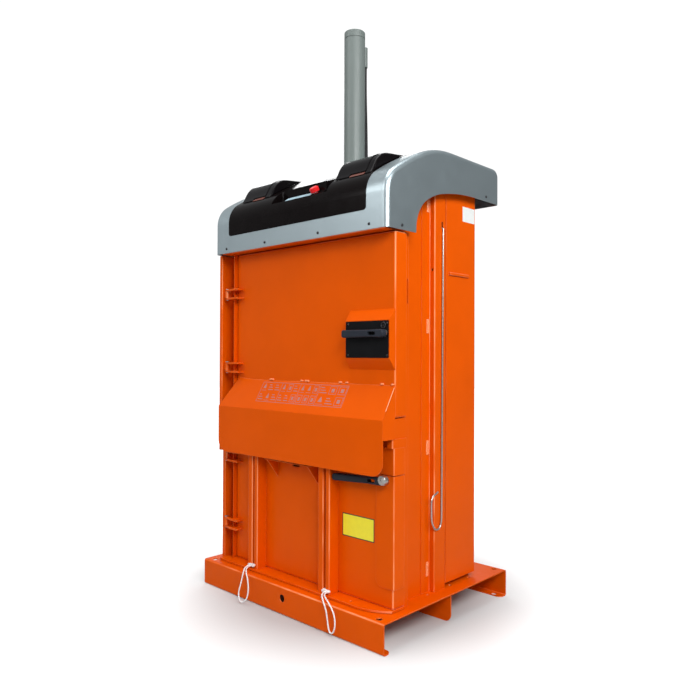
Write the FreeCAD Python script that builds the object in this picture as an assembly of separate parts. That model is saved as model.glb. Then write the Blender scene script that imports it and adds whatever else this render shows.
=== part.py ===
"""A vertical recycling baler: folded sheet body, two hinged doors, ram, power pack and hood.

Millimetres, +Z up, +Y to the back, front doors towards -Y.
The origin is the bottom centre of the base.
"""
import FreeCAD
import Part

import math
import os

Vector = FreeCAD.Vector
X_AXIS = Vector(1, 0, 0)
Y_AXIS = Vector(0, 1, 0)
Z_AXIS = Vector(0, 0, 1)
MIRROR_PLANE = Vector(1, 0, 0)

# ---------------------------------------------------------------- base
base_length = 991.0
base_depth = 750.0
base_height = 103.0
base_sheet = 4.0
base_lip = 40.0
base_bend = 6.0
base_lip_corner = 22.0
anchor_x = 455.0
anchor_y = 350.0
anchor_hole = 22.0
front_hole = 28.0
front_hole_z = 61.0
drain_hole = 12.0
drain_x = 437.0
drain_ys = (-206.0, -65.0, 71.0, 194.0)
foot_inset = 5.0
foot_flange = 34.0
foot_corner = 26.0

# ---------------------------------------------------------------- chamber
chamber_width = 700.0
wall_front = -222.0
chamber_back = 225.0
wall_sheet = 4.0
wall_bend = 6.0
wall_top = 1381.0
flange_reach = 100.0
flange_return = 25.0
rear_flange_reach = 58.0
skin_x = 415.0
skin_sheet = 3.0
skin_top = 1548.0
floor_level = 133.0
channel_xs = (-230.0, 175.0)
channel_slot = 10.0
channel_depth = 24.0
channel_bend = 3.5
fit_gap = 0.3

# ---------------------------------------------------------------- rear posts and panels
post_sheet = 3.0
post_bend = 5.0
post_face_x = 441.0
post_front = -33.0
post_back = 37.0
post_strip = 48.0
post_top = 1562.0
panel_back = 232.0
panel_top = 1590.0
panel_bottom = 120.0
panel_return = 60.0
louver_z = 1264.0
louver_y = 116.0
louver_length = 128.0
louver_height = 14.0
tool_slot_y = 12.0
tool_slot_z = 1437.0
tool_slot_width = 9.0
tool_slot_height = 27.0
rod_tool_radius = 3.5
rod_tool_gap = 0.5
rod_tool_lift = 1.5
rod_tool_hook = 12.0
rod_tool_bends = ((5.0, 360.0), (-4.0, 330.0), (-34.0, 328.0), (-56.0, 362.0), (-57.0, 449.0), (-17.0, 464.0))
step_hole = 9.0
step_hole_x = 429.0
step_hole_z = 1272.0
lip_slot_z = 1180.0
lip_slot_height = 85.0
lip_slot_width = 5.0
lip_slot_edge = 8.0

# ---------------------------------------------------------------- hinge line
hinge_x = -446.0
hinge_y = -300.0
pin_radius = 5.0
pin_head_radius = 8.0
pin_head = 3.0
pin_clearance = 0.08
arm_thickness = 7.0
arm_spacing = 36.0
arm_hub_radius = 8.5
arm_reach = 92.0
arm_front = 17.0
arm_taper = 45.0
lip_clearance = 1.5
lug_radius = 12.0
lug_gap = 0.8
upper_hinge_zs = (1212.5, 906.0)
lower_hinge_zs = (254.0, 535.0)
post_leg_sheet = 3.0
post_leg_bend = 4.5
lip_x = -400.0
lower_leg_x = -477.0
lower_leg_front = -301.0
lower_leg_return = 37.0
upper_leg_x = -486.0
upper_leg_front = -314.0
upper_leg_return = 60.0
leg_width = 20.0
hinge_post_split = 555.0
hinge_post_back = -222.0
hinge_post_gap = 1.0
backing_plate_height = 64.0
backing_plate_depth = 42.0

# ---------------------------------------------------------------- doors
door_sheet = 3.0
door_corner = 8.0
door_left = -397.0
door_front = -285.0
door_back = -227.0
upper_door_right = 465.0
upper_door_bottom = 751.0
upper_door_top = 1377.0
lower_door_right = 459.0
lower_door_bottom = 112.0
lower_door_top = 556.5
rail_gap = 3.0
rail_right = 461.0

# loading flap
flap_top_z = 860.0
flap_fold_z = 747.0
flap_fold_y = -350.0
flap_bottom_z = 561.0
flap_left = -437.0
flap_top_left = -281.0
flap_hip_x = -378.0
flap_hip_z = 866.0
flap_right = 466.0
flap_side_bottom = 681.0
flap_corner = 48.0
flap_sheet = 3.0

# upper handle
housing_left = 264.0
housing_front = -315.0
housing_bottom = 948.0
housing_top = 1079.0
housing_bevel = 37.0
housing_side_bevel = 6.0
housing_sheet = 3.0
plate_margin = 3.0
plate_thickness = 2.0
plate_corner = 3.0
upper_pivot_x = 446.0
upper_pivot_z = 1033.0
lever_length = 176.0
lever_hub_radius = 13.5
lever_grip_height = 27.0
lever_thickness = 20.0
lever_standoff = 8.0
lever_edge = 5.0
lever_window_length = 34.0
lever_window_height = 12.0
lever_window_offset = 36.0
spindle_radius = 7.0
spindle_clearance = 0.4
cam_radius = 26.0
cam_hub_radius = 12.0
cam_thickness = 8.0
cam_depth = 30.0
keeper_offset = 44.0
keeper_width = 26.0
keeper_thickness = 6.0
keeper_reach = 22.0
keeper_slot_margin = 9.0

# lower door fittings
rib_front = -330.0
rib_left_width = 28.0
rib_right_width = 22.0
rib_sheet = 3.0
rib_bend = 4.5
door_flange_thickness = 7.0
door_flange_front = -341.0
door_flange_straight = 302.0
door_flange_left = -435.0
door_flange_bend_x = 395.0
door_flange_bend_y = -329.0
door_flange_end = 6.0
door_flange_rise = 105.0
door_flange_hole = 11.0
door_flange_hole_x = 297.0
door_flange_hole_y = -318.0
gusset_xs = (-131.0, 98.0)
gusset_thickness = 5.0
gusset_height = 74.0
gusset_reach = 55.0
ledge_margin = 20.0
ledge_thickness = 3.0
skin_slot_x = -24.0
skin_slot_z = 538.5
skin_slot_length = 38.0
skin_slot_height = 12.0
strip_left = 385.0
strip_front = -288.5
strip_right = 464.5
strip_back = -235.0
strip_bottom = 180.0
strip_top = 650.0
strip_corner = 26.0
strip_sheet = 3.0
strip_bend = 5.0
clip_top = 681.0
clip_front = -296.0
clip_left = 440.0
lower_pivot_x = 427.0
lower_pivot_z = 541.0
lower_lever_length = 222.0
lower_lever_drop = 3.0
lower_lever_grip_height = 25.0
nut_radius = 16.0
nut_height = 14.0

# pull loops
loop_diameter = 5.0
left_loop = ((-236, -340, 125), (-236, -362, 125), (-218, -386, 108), (-216, -397, 74), (-222, -405, 40),
             (-210, -412, 14), (-186, -413, 6), (-164, -409, 26), (-162, -403, 60), (-178, -394, 94),
             (-204, -384, 114), (-226, -362, 125), (-226, -340, 125))
right_loop = ((194, -340, 125), (194, -361, 125), (226, -383, 112), (248, -388, 84), (254, -388, 50),
              (262, -389, 20), (276, -390, 14), (288, -389, 30), (291, -388, 60), (280, -387, 92),
              (244, -382, 120), (204, -361, 125), (204, -340, 125))
knot_radius = 4.0
knot_length = 36.0
knot_z = 125.0
knot_y = -336.0
knot_stem = 3.0
knot_shifts = (-1.0, 16.0)

# ---------------------------------------------------------------- front header
header_front = -325.0
header_thickness = 3.0
header_lip_y = -339.0
header_height = 50.0
header_step = 16.0
header_half = 450.0
header_bend = 4.5

# ---------------------------------------------------------------- ram
ram_y = 7.0
crosshead_front = -48.0
crosshead_back = 62.0
crosshead_bottom = 1462.0
crosshead_top = 1555.0
crosshead_sheet = 6.0
crosshead_bend = 9.0
cylinder_radius = 43.0
bore_radius = 35.0
rod_radius = 22.5
running_gap = 0.06
gland_flange = 20.0
gland_plug = 25.0
gland_width = 150.0
gland_depth = 104.0
cylinder_bottom = crosshead_top + gland_flange
cylinder_top = 2262.0
cap_height = 28.0
cap_edge = 4.0
seam_groove = 1.5
piston_height = 35.0
piston_top_gap = 6.0
platen_bottom = 1376.0
platen_sheet = 8.0
platen_side_gap = 7.0
platen_front = -214.0
platen_back = 217.0
platen_edge = 40.0
platen_rib_height = 52.0
platen_rib_sheet = 8.0
platen_rib_ys = (-60.0, 74.0)
rod_foot_thickness = 12.0
rod_foot_width = 120.0
port_drop = 30.0
port_z = cylinder_top - port_drop
port_x = 6.0
port_y = 62.0
port_radius = 12.0
port_height = 82.0
port_neck = 0.8

# hose
hose_radius = 9.0
hose_bows = ((0.0, 0.0, 0.264), (6.0, -1.0, 0.6))
hose_entry = ((10.0, -2.0, 40.0), (15.0, 10.0, -5.0), (16.0, 34.0, -40.0), (16.0, 34.0, -75.0))

# ---------------------------------------------------------------- hood
hood_half = 475.0
hood_front = -342.0
hood_back = 352.0
hood_bottom = 1380.0
hood_underside = 1556.0
hood_top = 1705.0
hood_sheet = 3.0
hood_edge_radius = 18.0
brow_radius = 102.0
shoulder_radius = 1094.0
crown_radius = 442.0
shoulder_slope = math.radians(33.3)
crown_slope = math.radians(24.9)
crown_end = 30.0
rear_radius = 35.0
leg_end = -187.0
arch_radii = (129.8, 298.0, 1009.0)
arch_slopes = (math.radians(32.0), math.radians(12.0))
arch_start = 1392.0
collar_clearance = 7.0

# console
console_half = 383.0
console_bottom = 1448.0
console_back = -70.0
console_corner = 12.0
console_lap = 12.0
console_proud = 0.8
console_sheet = 3.0
recess_left = -120.0
recess_right = 185.0
recess_front = hood_front + 9.0
recess_depth = 61.0
recess_back = recess_front + recess_depth
recess_corner = 6.0
unit_left = -60.0
unit_right = 150.0
unit_depth = 28.0
unit_height = 50.0
unit_lift = 1.0
unit_ledge_depth = 26.0
unit_ledge_height = 18.0
stop_x = 109.0
stop_radius = 17.0
stop_height = 19.0
stop_rim = 0.8
stop_bevel = 0.25
stop_stem_radius = 8.0
stop_gap = 4.4
stop_stem_length = 20.0

# strap lids and rolls
lid_starts = (-353.0, 189.0)
lid_length = 181.0
lid_front = hood_front + 42.0
lid_curve_points = ((0.0, 2.5), (14.0, 16.0), (32.5, 34.5), (64.0, 39.0), (110.0, 24.0), (150.0, 9.2),
                    (172.0, 3.0))
lid_sheet = 3.0
lid_clearance = 1.6
lid_corner = 8.0
lid_rear_bar = 8.0
lid_rib_start = 143.0
lid_rib_width = 8.0
lid_rib_height = 2.0
lid_mouth_height = 13.0
lid_mouth = (76.0, 152.0)
lid_mouth_depth = 15.0
lid_hinge_run = 172.0
lid_hinge_y = lid_front + lid_hinge_run
lid_barrel_radius = 2.6
lid_barrel_gap = 0.5
lid_barrel_length = 10.0
lid_pin_radius = 1.2
lid_knuckle_offset = 28.0
lid_knuckle_half = 4.0
lid_knuckle_gap = 0.4
lid_notch_gap = 1.0
roll_y = lid_front + 86.0
roll_drop = 38.0
roll_radius = 50.0
roll_width = 100.0
roll_offset = 106.0
roll_opening_gap = 6.0
roll_core_radius = 10.0
ear_thickness = 5.0
ear_width = 36.0
ear_gap = 2.0

# ---------------------------------------------------------------- power pack
shelf_sheet = 3.0
shelf_front = 64.0
shelf_back = 223.0
shelf_half = 412.0
tank_x = 236.0
tank_length = 320.0
tank_depth = 130.0
tank_height = 100.0
tank_edge = 18.0
filler_radius = 18.0
filler_height = 18.0
motor_x = -210.0
motor_radius = 58.0
motor_length = 190.0
motor_end_radius = 52.2
motor_edge = 6.0
motor_foot_half = 6.0
motor_foot_lift = 6.0
motor_foot_offset = motor_length / 3
pump_radius = 34.0
pump_length = 55.0
valve_size = 60.0
box_gap = 6.0
box_motor_gap = 12.0
shelf_lip = 18.0
power_y = 144.0


# ================================================================ helpers
def plan(x, y):
    """A point of a plan outline."""
    return Vector(x, y, 0)


def side(y, z):
    """A point of an outline seen along X."""
    return Vector(0, y, z)


def front(x, z):
    """A point of an outline seen along Y."""
    return Vector(x, 0, z)


def box(x0, x1, y0, y1, z0, z1):
    """A block between two corners."""
    return Part.makeBox(x1 - x0, y1 - y0, z1 - z0, Vector(x0, y0, z0))


def rod_between(start, end, radius):
    """A round bar from one point to another."""
    axis = end - start
    return Part.makeCylinder(radius, axis.Length, start, axis)


def prism(outline, direction):
    """A closed outline of points swept along a vector."""
    wire = Part.makePolygon(list(outline) + [outline[0]])
    return Part.Face(wire).extrude(direction)


def fuse_all(shapes):
    """One solid from pieces that touch or overlap."""
    return shapes[0].multiFuse(shapes[1:]).removeSplitter()


def mirrored(shape):
    """The left-hand twin of a right-hand piece."""
    return shape.mirror(Vector(0, 0, 0), MIRROR_PLANE)


def fillet_where(shape, radius, test):
    """Round the edges that a test picks out."""
    edges = [edge for edge in shape.Edges if test(edge)]
    return shape.makeFillet(radius, edges)


def runs_along(edge, axis):
    """Whether a straight edge is parallel to an axis."""
    if not isinstance(edge.Curve, Part.Line):
        return False
    return abs(edge.tangentAt(edge.FirstParameter).dot(axis)) > 0.999


def unit(vector):
    """A copy of a vector with length one."""
    return Vector(vector).normalize()


def left_normal(direction):
    """The flat direction a quarter turn to the left."""
    return Vector(-direction.y, direction.x, 0)


def sheet_side(path, offset, bend):
    """One face of a bent sheet: points for lines, and (start, middle, end) for each bend."""
    corners = [Vector(x, y, 0) for x, y in path]
    first = unit(corners[1] - corners[0])
    segments = [corners[0] + left_normal(first) * offset]
    for before, corner, after in zip(corners, corners[1:], corners[2:]):
        arriving = unit(corner - before)
        leaving = unit(after - corner)
        turn = arriving.cross(leaving).z
        hand = math.copysign(1.0, turn)
        angle = math.acos(max(-1.0, min(1.0, arriving.dot(leaving))))
        setback = bend * math.tan(angle / 2)
        start = corner - arriving * setback
        end = corner + leaving * setback
        centre = start + left_normal(arriving) * (hand * bend)
        middle = unit((start - centre) + (end - centre))
        radius = bend - hand * offset
        segments.append((start + left_normal(arriving) * offset,
                         centre + middle * radius,
                         end + left_normal(leaving) * offset))
    last = unit(corners[-1] - corners[-2])
    segments.append(corners[-1] + left_normal(last) * offset)
    return segments


def sheet_profile(path, thickness, bend, place):
    """The closed section of a sheet bent along a centre line, placed by plan, side or front."""
    edges = []

    def put(point):
        return place(point.x, point.y)

    def add_side(segments):
        here = segments[0]
        for segment in segments[1:]:
            if isinstance(segment, tuple):
                start, middle, end = segment
                edges.append(Part.makeLine(put(here), put(start)))
                edges.append(Part.Arc(put(start), put(middle), put(end)).toShape())
                here = end
            else:
                edges.append(Part.makeLine(put(here), put(segment)))
                here = segment

    left = sheet_side(path, thickness / 2, bend)
    right = sheet_side(path[::-1], thickness / 2, bend)
    add_side(left)
    edges.append(Part.makeLine(put(left[-1]), put(right[0])))
    add_side(right)
    edges.append(Part.makeLine(put(right[-1]), put(left[0])))
    return Part.Face(Part.Wire(edges))


def folded_sheet(path, thickness, bend, place, start, length):
    """A sheet bent along a centre line and swept by a length from a starting vector."""
    face = sheet_profile(path, thickness, bend, place)
    normals = {plan: Z_AXIS, side: X_AXIS, front: Y_AXIS}
    direction = normals[place] * length
    swept = face.extrude(direction)
    swept.translate(start)
    return swept


def channel_path(half_width, level, depth_sign, flange):
    """The centre line of a sheet with a square groove at each strap line."""
    groove = (channel_slot + wall_sheet) / 2
    points = [(-half_width, level + flange), (-half_width, level)] if flange else [(-half_width, level)]
    for x in channel_xs:
        bottom = level + depth_sign * channel_depth
        points += [(x - groove, level), (x - groove, bottom), (x + groove, bottom), (x + groove, level)]
    points += [(half_width, level), (half_width, level + flange)] if flange else [(half_width, level)]
    return points


def rounded_rectangle(x0, x1, z0, z1, radius, y):
    """A face in an XZ plane with four round corners."""
    blank = box(x0, x1, y, y + 1.0, z0, z1)
    blank = fillet_where(blank, radius, lambda edge: runs_along(edge, Y_AXIS))
    faces = [face for face in blank.Faces if abs(face.CenterOfMass.y - y) < 0.01]
    return faces[0]


def turned(points, origin, axis):
    """A revolve of (radius, height) points about an axis through an origin."""
    outline = [Vector(radius, 0, height) for radius, height in points]
    wire = Part.makePolygon(outline + [outline[0]])
    solid = Part.Face(wire).revolve(Vector(0, 0, 0), Z_AXIS, 360)
    solid.Placement = FreeCAD.Placement(origin, FreeCAD.Rotation(Z_AXIS, axis))
    return solid


# ================================================================ base
def make_base_frame():
    """One plate folded down at the front and back, with lips turned in to stand on."""
    half = base_sheet / 2
    reach = base_depth / 2
    path = [(-reach + base_lip, half), (-reach + half, half),
            (-reach + half, base_height - half), (reach - half, base_height - half),
            (reach - half, half), (reach - base_lip, half)]
    frame = folded_sheet(path, base_sheet, base_bend, side, Vector(-base_length / 2, 0, 0), base_length)
    lip_edge = reach - base_lip

    def is_lip_corner(edge):
        middle = edge.CenterOfMass
        at_edge = abs(abs(middle.y) - lip_edge) < 0.1
        return runs_along(edge, Z_AXIS) and at_edge and middle.z < base_sheet

    frame = fillet_where(frame, base_lip_corner, is_lip_corner)
    for x in (-anchor_x, anchor_x):
        for y in (-anchor_y, anchor_y):
            frame = frame.cut(Part.makeCylinder(anchor_hole / 2, base_height, Vector(x, y, 0)))
    channel_hole = Part.makeCylinder(front_hole / 2, base_bend * 2, Vector(0, -reach - 1, front_hole_z),
                                     Y_AXIS)
    frame = frame.cut(channel_hole)
    for x in (-drain_x, drain_x):
        for y in drain_ys:
            frame = frame.cut(Part.makeCylinder(drain_hole / 2, base_height, Vector(x, y, base_sheet)))
    return frame


def make_middle_foot():
    """A web under the plate with round lower corners and a flange to weld it by."""
    half = base_sheet / 2
    under = base_height - base_sheet
    path = [(half, 0), (half, under - half), (half + foot_flange, under - half)]
    length = base_length - 2 * foot_inset
    foot = folded_sheet(path, base_sheet, base_bend, side, Vector(-length / 2, 0, 0), length)

    def is_lower_corner(edge):
        return runs_along(edge, Y_AXIS) and edge.CenterOfMass.z < 1.0

    return fillet_where(foot, foot_corner, is_lower_corner)


# ================================================================ chamber
def make_chamber_floor():
    """A raised floor with a strap groove under each strap line."""
    half = wall_sheet / 2
    level = floor_level - half
    path = channel_path(chamber_width / 2 - half, level, -1, base_height - level)
    length = chamber_back - wall_front - 2 * half
    return folded_sheet(path, wall_sheet, channel_bend, front, Vector(0, wall_front + half, 0), length)


def make_chamber_back():
    """The back wall, with strap grooves that stand out behind it."""
    half = wall_sheet / 2
    path = channel_path(chamber_width / 2, chamber_back + half, 1, 0)
    length = wall_top - base_height
    return folded_sheet(path, wall_sheet, channel_bend, plan, Vector(0, 0, base_height), length)


def make_chamber_wall():
    """The right wall: inner sheet with a front flange, its return lip and a rear flange."""
    half = wall_sheet / 2
    inner = chamber_width / 2
    flange = inner + flange_reach
    path = [(flange - half, wall_front + flange_return), (flange - half, wall_front + half),
            (inner + half, wall_front + half), (inner + half, chamber_back + half),
            (inner + rear_flange_reach, chamber_back + half)]
    wall = folded_sheet(path, wall_sheet, wall_bend, plan, Vector(0, 0, base_height), wall_top - base_height)
    slot_y = wall_front + flange_return - lip_slot_edge
    slot_z = lip_slot_z - lip_slot_height / 2
    slot = box(flange - wall_bend, flange + 1, slot_y, slot_y + lip_slot_width, slot_z,
               slot_z + lip_slot_height)
    return wall.cut(slot)


def make_keeper(pivot_x, pivot_z):
    """The plate on the front flange that a door latch draws up against."""
    x0 = pivot_x - keeper_offset - keeper_width / 2
    z0 = pivot_z - keeper_thickness / 2
    back = wall_front
    return box(x0, x0 + keeper_width, back - keeper_reach, back, z0, z0 + keeper_thickness)


def make_side_skin():
    """The flat outer sheet of the right wall."""
    return box(skin_x - skin_sheet, skin_x, wall_front + wall_sheet, chamber_back, base_height, skin_top)


def make_rear_post():
    """A folded post that stands out from the right skin and carries the ram."""
    half = post_sheet / 2
    face = post_face_x - half
    path = [(skin_x + half, post_front - post_strip), (skin_x + half, post_front + half),
            (face, post_front + half), (face, post_back - half), (skin_x, post_back - half)]
    post = folded_sheet(path, post_sheet, post_bend, plan, Vector(0, 0, base_height), post_top - base_height)
    hole = Part.makeCylinder(step_hole / 2, post_bend * 2, Vector(step_hole_x, post_front - 1, step_hole_z),
                             Y_AXIS)
    return post.cut(hole)


def cut_tool_slot(post):
    """The slot in the right post that the rod tool hangs in."""
    slot = box(post_face_x - post_bend, post_face_x + 1,
               tool_slot_y - tool_slot_width / 2, tool_slot_y + tool_slot_width / 2,
               tool_slot_z - tool_slot_height / 2, tool_slot_z + tool_slot_height / 2)
    return post.cut(slot)


def make_rear_panel():
    """The right rear cover, turned in at the back."""
    half = post_sheet / 2
    face = post_face_x - half
    path = [(face, post_back), (face, panel_back - half), (face - panel_return, panel_back - half)]
    height = panel_top - panel_bottom
    return folded_sheet(path, post_sheet, post_bend, plan, Vector(0, 0, panel_bottom), height)


def add_louver(panel):
    """A pressed eyebrow on the right cover."""
    radius = louver_height / 2
    start = Vector(post_face_x, louver_y - louver_length / 2, louver_z)
    bar = rod_between(start, start + Vector(0, louver_length, 0), radius)
    bar = bar.common(box(post_face_x, post_face_x + radius, -base_depth, base_depth, 0, louver_z + radius))
    hollow = rod_between(start + Vector(-post_sheet, post_sheet, -post_sheet),
                         start + Vector(-post_sheet, louver_length - post_sheet, -post_sheet), radius)
    return panel.fuse(bar).cut(hollow.common(box(post_face_x - post_sheet - 1, post_face_x + radius,
                                                 start.y, start.y + louver_length,
                                                 louver_z - radius, louver_z)))


# ================================================================ hinge side
def hinge_post_profile(leg_x, leg_front, leg_return):
    """Plan centre line of a hinge post: leg, web and the lip beside the door."""
    half = post_leg_sheet / 2
    inner = leg_x + leg_width - half
    outer = leg_x + half
    return [(inner, leg_front + leg_return), (inner, leg_front + half), (outer, leg_front + half),
            (outer, hinge_post_back - half), (lip_x - half, hinge_post_back - half),
            (lip_x - half, hinge_y)]


def make_lower_hinge_post():
    """The lower hinge post, with a plate behind the lower hinge."""
    path = hinge_post_profile(lower_leg_x, lower_leg_front, lower_leg_return)
    height = hinge_post_split - base_height
    post = folded_sheet(path, post_leg_sheet, post_leg_bend, plan, Vector(0, 0, base_height), height)
    middle = lower_hinge_zs[0]
    plate = box(lower_leg_x - post_leg_sheet, lower_leg_x,
                lower_leg_front + post_leg_bend, lower_leg_front + post_leg_bend + backing_plate_depth,
                middle - backing_plate_height / 2, middle + backing_plate_height / 2)
    return fuse_all([post, plate])


def make_upper_hinge_post():
    """The upper hinge post, a little wider than the lower one."""
    path = hinge_post_profile(upper_leg_x, upper_leg_front, upper_leg_return)
    height = hood_bottom - hinge_post_gap - hinge_post_split
    return folded_sheet(path, post_leg_sheet, post_leg_bend, plan, Vector(0, 0, hinge_post_split), height)


def make_lug(middle_z, leg_inner_x):
    """A block on the post leg between two hinge arms, bored for the pin."""
    height = arm_spacing - arm_thickness - 2 * lug_gap
    bottom = middle_z - height / 2
    hub = Part.makeCylinder(lug_radius, height, Vector(hinge_x, hinge_y + fit_gap, bottom))
    web = box(leg_inner_x, hinge_x, hinge_y + fit_gap, hinge_y + fit_gap + lug_radius, bottom,
              bottom + height)
    bore = Part.makeCylinder(pin_radius, height, Vector(hinge_x, hinge_y, bottom))
    trim = box(leg_inner_x, hinge_x + lug_radius, hinge_y - lug_radius, hinge_y + 2 * lug_radius,
               bottom, bottom + height)
    return fuse_all([hub, web]).common(trim).cut(bore)


def make_hinge_lugs():
    """All fixed hinge lugs."""
    lugs = [make_lug(z, upper_leg_x + leg_width) for z in upper_hinge_zs]
    lugs += [make_lug(z, lower_leg_x + leg_width) for z in lower_hinge_zs]
    return Part.makeCompound(lugs)


def make_pin(middle_z):
    """A headed hinge pin through two arms and the lug between them."""
    reach = (arm_spacing + arm_thickness) / 2
    start = Vector(hinge_x, hinge_y, middle_z - reach - pin_head)
    shank = Part.makeCylinder(pin_radius, 2 * reach + 2 * pin_head, start)
    head = Part.makeCylinder(pin_head_radius, pin_head,
                             Vector(hinge_x, hinge_y, middle_z + reach + lug_gap / 2))
    return fuse_all([shank, head])


def make_hinge_pins():
    """All hinge pins."""
    return Part.makeCompound([make_pin(z) for z in upper_hinge_zs + lower_hinge_zs])


def make_arm(middle_z):
    """A flat arm from the pin, in front of the post lip, to the door face."""
    rear = lip_clearance
    outline = [plan(0, -arm_hub_radius), plan(arm_taper, -arm_front), plan(arm_reach, -arm_front),
               plan(arm_reach, door_front - hinge_y),
               plan(door_left - hinge_x + lip_clearance, door_front - hinge_y),
               plan(door_left - hinge_x + lip_clearance, -rear), plan(0, -rear)]
    web = prism(outline, Z_AXIS * arm_thickness)
    hub = Part.makeCylinder(arm_hub_radius, arm_thickness)
    bore = Part.makeCylinder(pin_radius + pin_clearance, arm_thickness)
    arm = fuse_all([web, hub]).cut(bore)
    arm.translate(Vector(hinge_x, hinge_y, middle_z - arm_thickness / 2))
    return arm


def make_hinge_arms(middles):
    """The arm pairs of one door."""
    arms = []
    for middle in middles:
        arms.append(make_arm(middle + arm_spacing / 2))
        arms.append(make_arm(middle - arm_spacing / 2))
    return Part.makeCompound(arms)


# ================================================================ doors
def make_door_tray(right, bottom, top):
    """A door skin with its four sides turned back."""
    blank = box(door_left, right, door_front, door_back, bottom, top)

    def is_front_edge(edge):
        at_front = abs(edge.CenterOfMass.y - door_front) < 0.01
        return at_front or runs_along(edge, Y_AXIS)

    blank = fillet_where(blank, door_corner, is_front_edge)
    hollow = box(door_left + door_sheet, right - door_sheet, door_front + door_sheet, door_back + 1,
                 bottom + door_sheet, top - door_sheet)
    hollow = fillet_where(hollow, door_corner - door_sheet, lambda edge: runs_along(edge, Y_AXIS))
    return blank.cut(hollow)


def spindle_hole(pivot_x, pivot_z):
    """The clearance hole for a handle spindle through a door."""
    radius = spindle_radius + spindle_clearance
    start = Vector(pivot_x, clip_front - nut_height, pivot_z)
    return Part.makeCylinder(radius, door_back - cam_depth / 2 - start.y, start, Y_AXIS)


def make_liner(right, bottom, top, pivot_x, pivot_z):
    """The inner sheet that closes a door's back, with a slot for the keeper."""
    margin = door_sheet
    liner = box(door_left + margin, right - margin, door_back - door_sheet, door_back, bottom + margin,
                top - margin)
    x0 = pivot_x - keeper_offset - keeper_width / 2 - keeper_slot_margin
    slot = box(x0, x0 + keeper_width + 2 * keeper_slot_margin, door_back - 2 * door_sheet, door_back + 1,
               pivot_z - keeper_thickness / 2 - keeper_slot_margin,
               pivot_z + keeper_thickness / 2 + keeper_slot_margin)
    corner = door_corner - door_sheet + fit_gap
    return fillet_where(liner, corner, lambda edge: runs_along(edge, Y_AXIS)).cut(slot)


def make_upper_door():
    """The upper door skin."""
    tray = make_door_tray(upper_door_right, upper_door_bottom, upper_door_top)
    return tray.cut(spindle_hole(upper_pivot_x, upper_pivot_z))


def make_flap():
    """The loading flap: a slanted top hipped at its left, a long front and a right cheek."""
    top_y = door_front
    thick = flap_sheet
    slant = [Vector(flap_top_left, top_y, flap_top_z), Vector(flap_right, top_y, flap_top_z),
             Vector(flap_right, flap_fold_y, flap_fold_z), Vector(flap_left, flap_fold_y, flap_fold_z)]
    slope = unit(Vector(0, flap_fold_z - flap_top_z, top_y - flap_fold_y))
    inward = slope if slope.z < 0 else slope * -1
    top = prism(slant, inward * thick)
    face = box(flap_left, flap_right, flap_fold_y, flap_fold_y + thick, flap_bottom_z, flap_fold_z)

    def is_lower_corner(edge):
        return runs_along(edge, Y_AXIS) and edge.CenterOfMass.z < flap_bottom_z + 1

    face = fillet_where(face, flap_corner, is_lower_corner)
    cheek_outline = [side(top_y, flap_top_z), side(flap_fold_y, flap_fold_z),
                     side(flap_fold_y, flap_side_bottom),
                     side(top_y, flap_side_bottom)]
    cheek = prism(cheek_outline, X_AXIS * thick)
    cheek.translate(Vector(flap_right - thick, 0, 0))
    corners = [Vector(flap_top_left, top_y, flap_top_z), Vector(flap_left, flap_fold_y, flap_fold_z),
               Vector(flap_hip_x, top_y, flap_hip_z)]
    hip = prism(corners, inward * thick)
    behind = box(-base_length, base_length, door_front, 0, 0, hood_top)
    return fuse_all([top, face, cheek, hip]).cut(behind)


def make_handle_housing():
    """A shallow raised box with sloping top, bottom and left side."""
    base = [(housing_left - housing_side_bevel, housing_bottom - housing_bevel),
            (upper_door_right, housing_bottom - housing_bevel),
            (upper_door_right, housing_top + housing_bevel),
            (housing_left - housing_side_bevel, housing_top + housing_bevel)]
    nose = [(housing_left, housing_bottom), (upper_door_right, housing_bottom),
            (upper_door_right, housing_top), (housing_left, housing_top)]

    def ring(points, y, inset):
        centre_x = (points[0][0] + points[1][0]) / 2
        centre_z = (points[0][1] + points[2][1]) / 2
        corners = [Vector(x - math.copysign(inset, x - centre_x), y, z - math.copysign(inset, z - centre_z))
                   for x, z in points]
        return Part.makePolygon(corners + [corners[0]])

    outer = Part.makeLoft([ring(base, door_front, 0), ring(nose, housing_front, 0)], True, True)
    inner = Part.makeLoft([ring(base, door_front, housing_sheet),
                           ring(nose, housing_front + housing_sheet, housing_sheet)], True, True)
    shell = outer.cut(inner)
    hole = Part.makeCylinder(spindle_radius + spindle_clearance, -housing_front,
                             Vector(upper_pivot_x, housing_front - 1, upper_pivot_z), Y_AXIS)
    return shell.cut(hole)


def make_handle_plate():
    """The thin plate on the housing front."""
    face = rounded_rectangle(housing_left + plate_margin, upper_door_right - plate_margin,
                             housing_bottom + plate_margin, housing_top - plate_margin,
                             plate_corner, housing_front - plate_thickness)
    plate = face.extrude(Y_AXIS * plate_thickness)
    hole = Part.makeCylinder(spindle_radius + spindle_clearance, 3 * plate_thickness,
                             Vector(upper_pivot_x, housing_front - 2 * plate_thickness, upper_pivot_z),
                             Y_AXIS)
    return plate.cut(hole)


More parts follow.
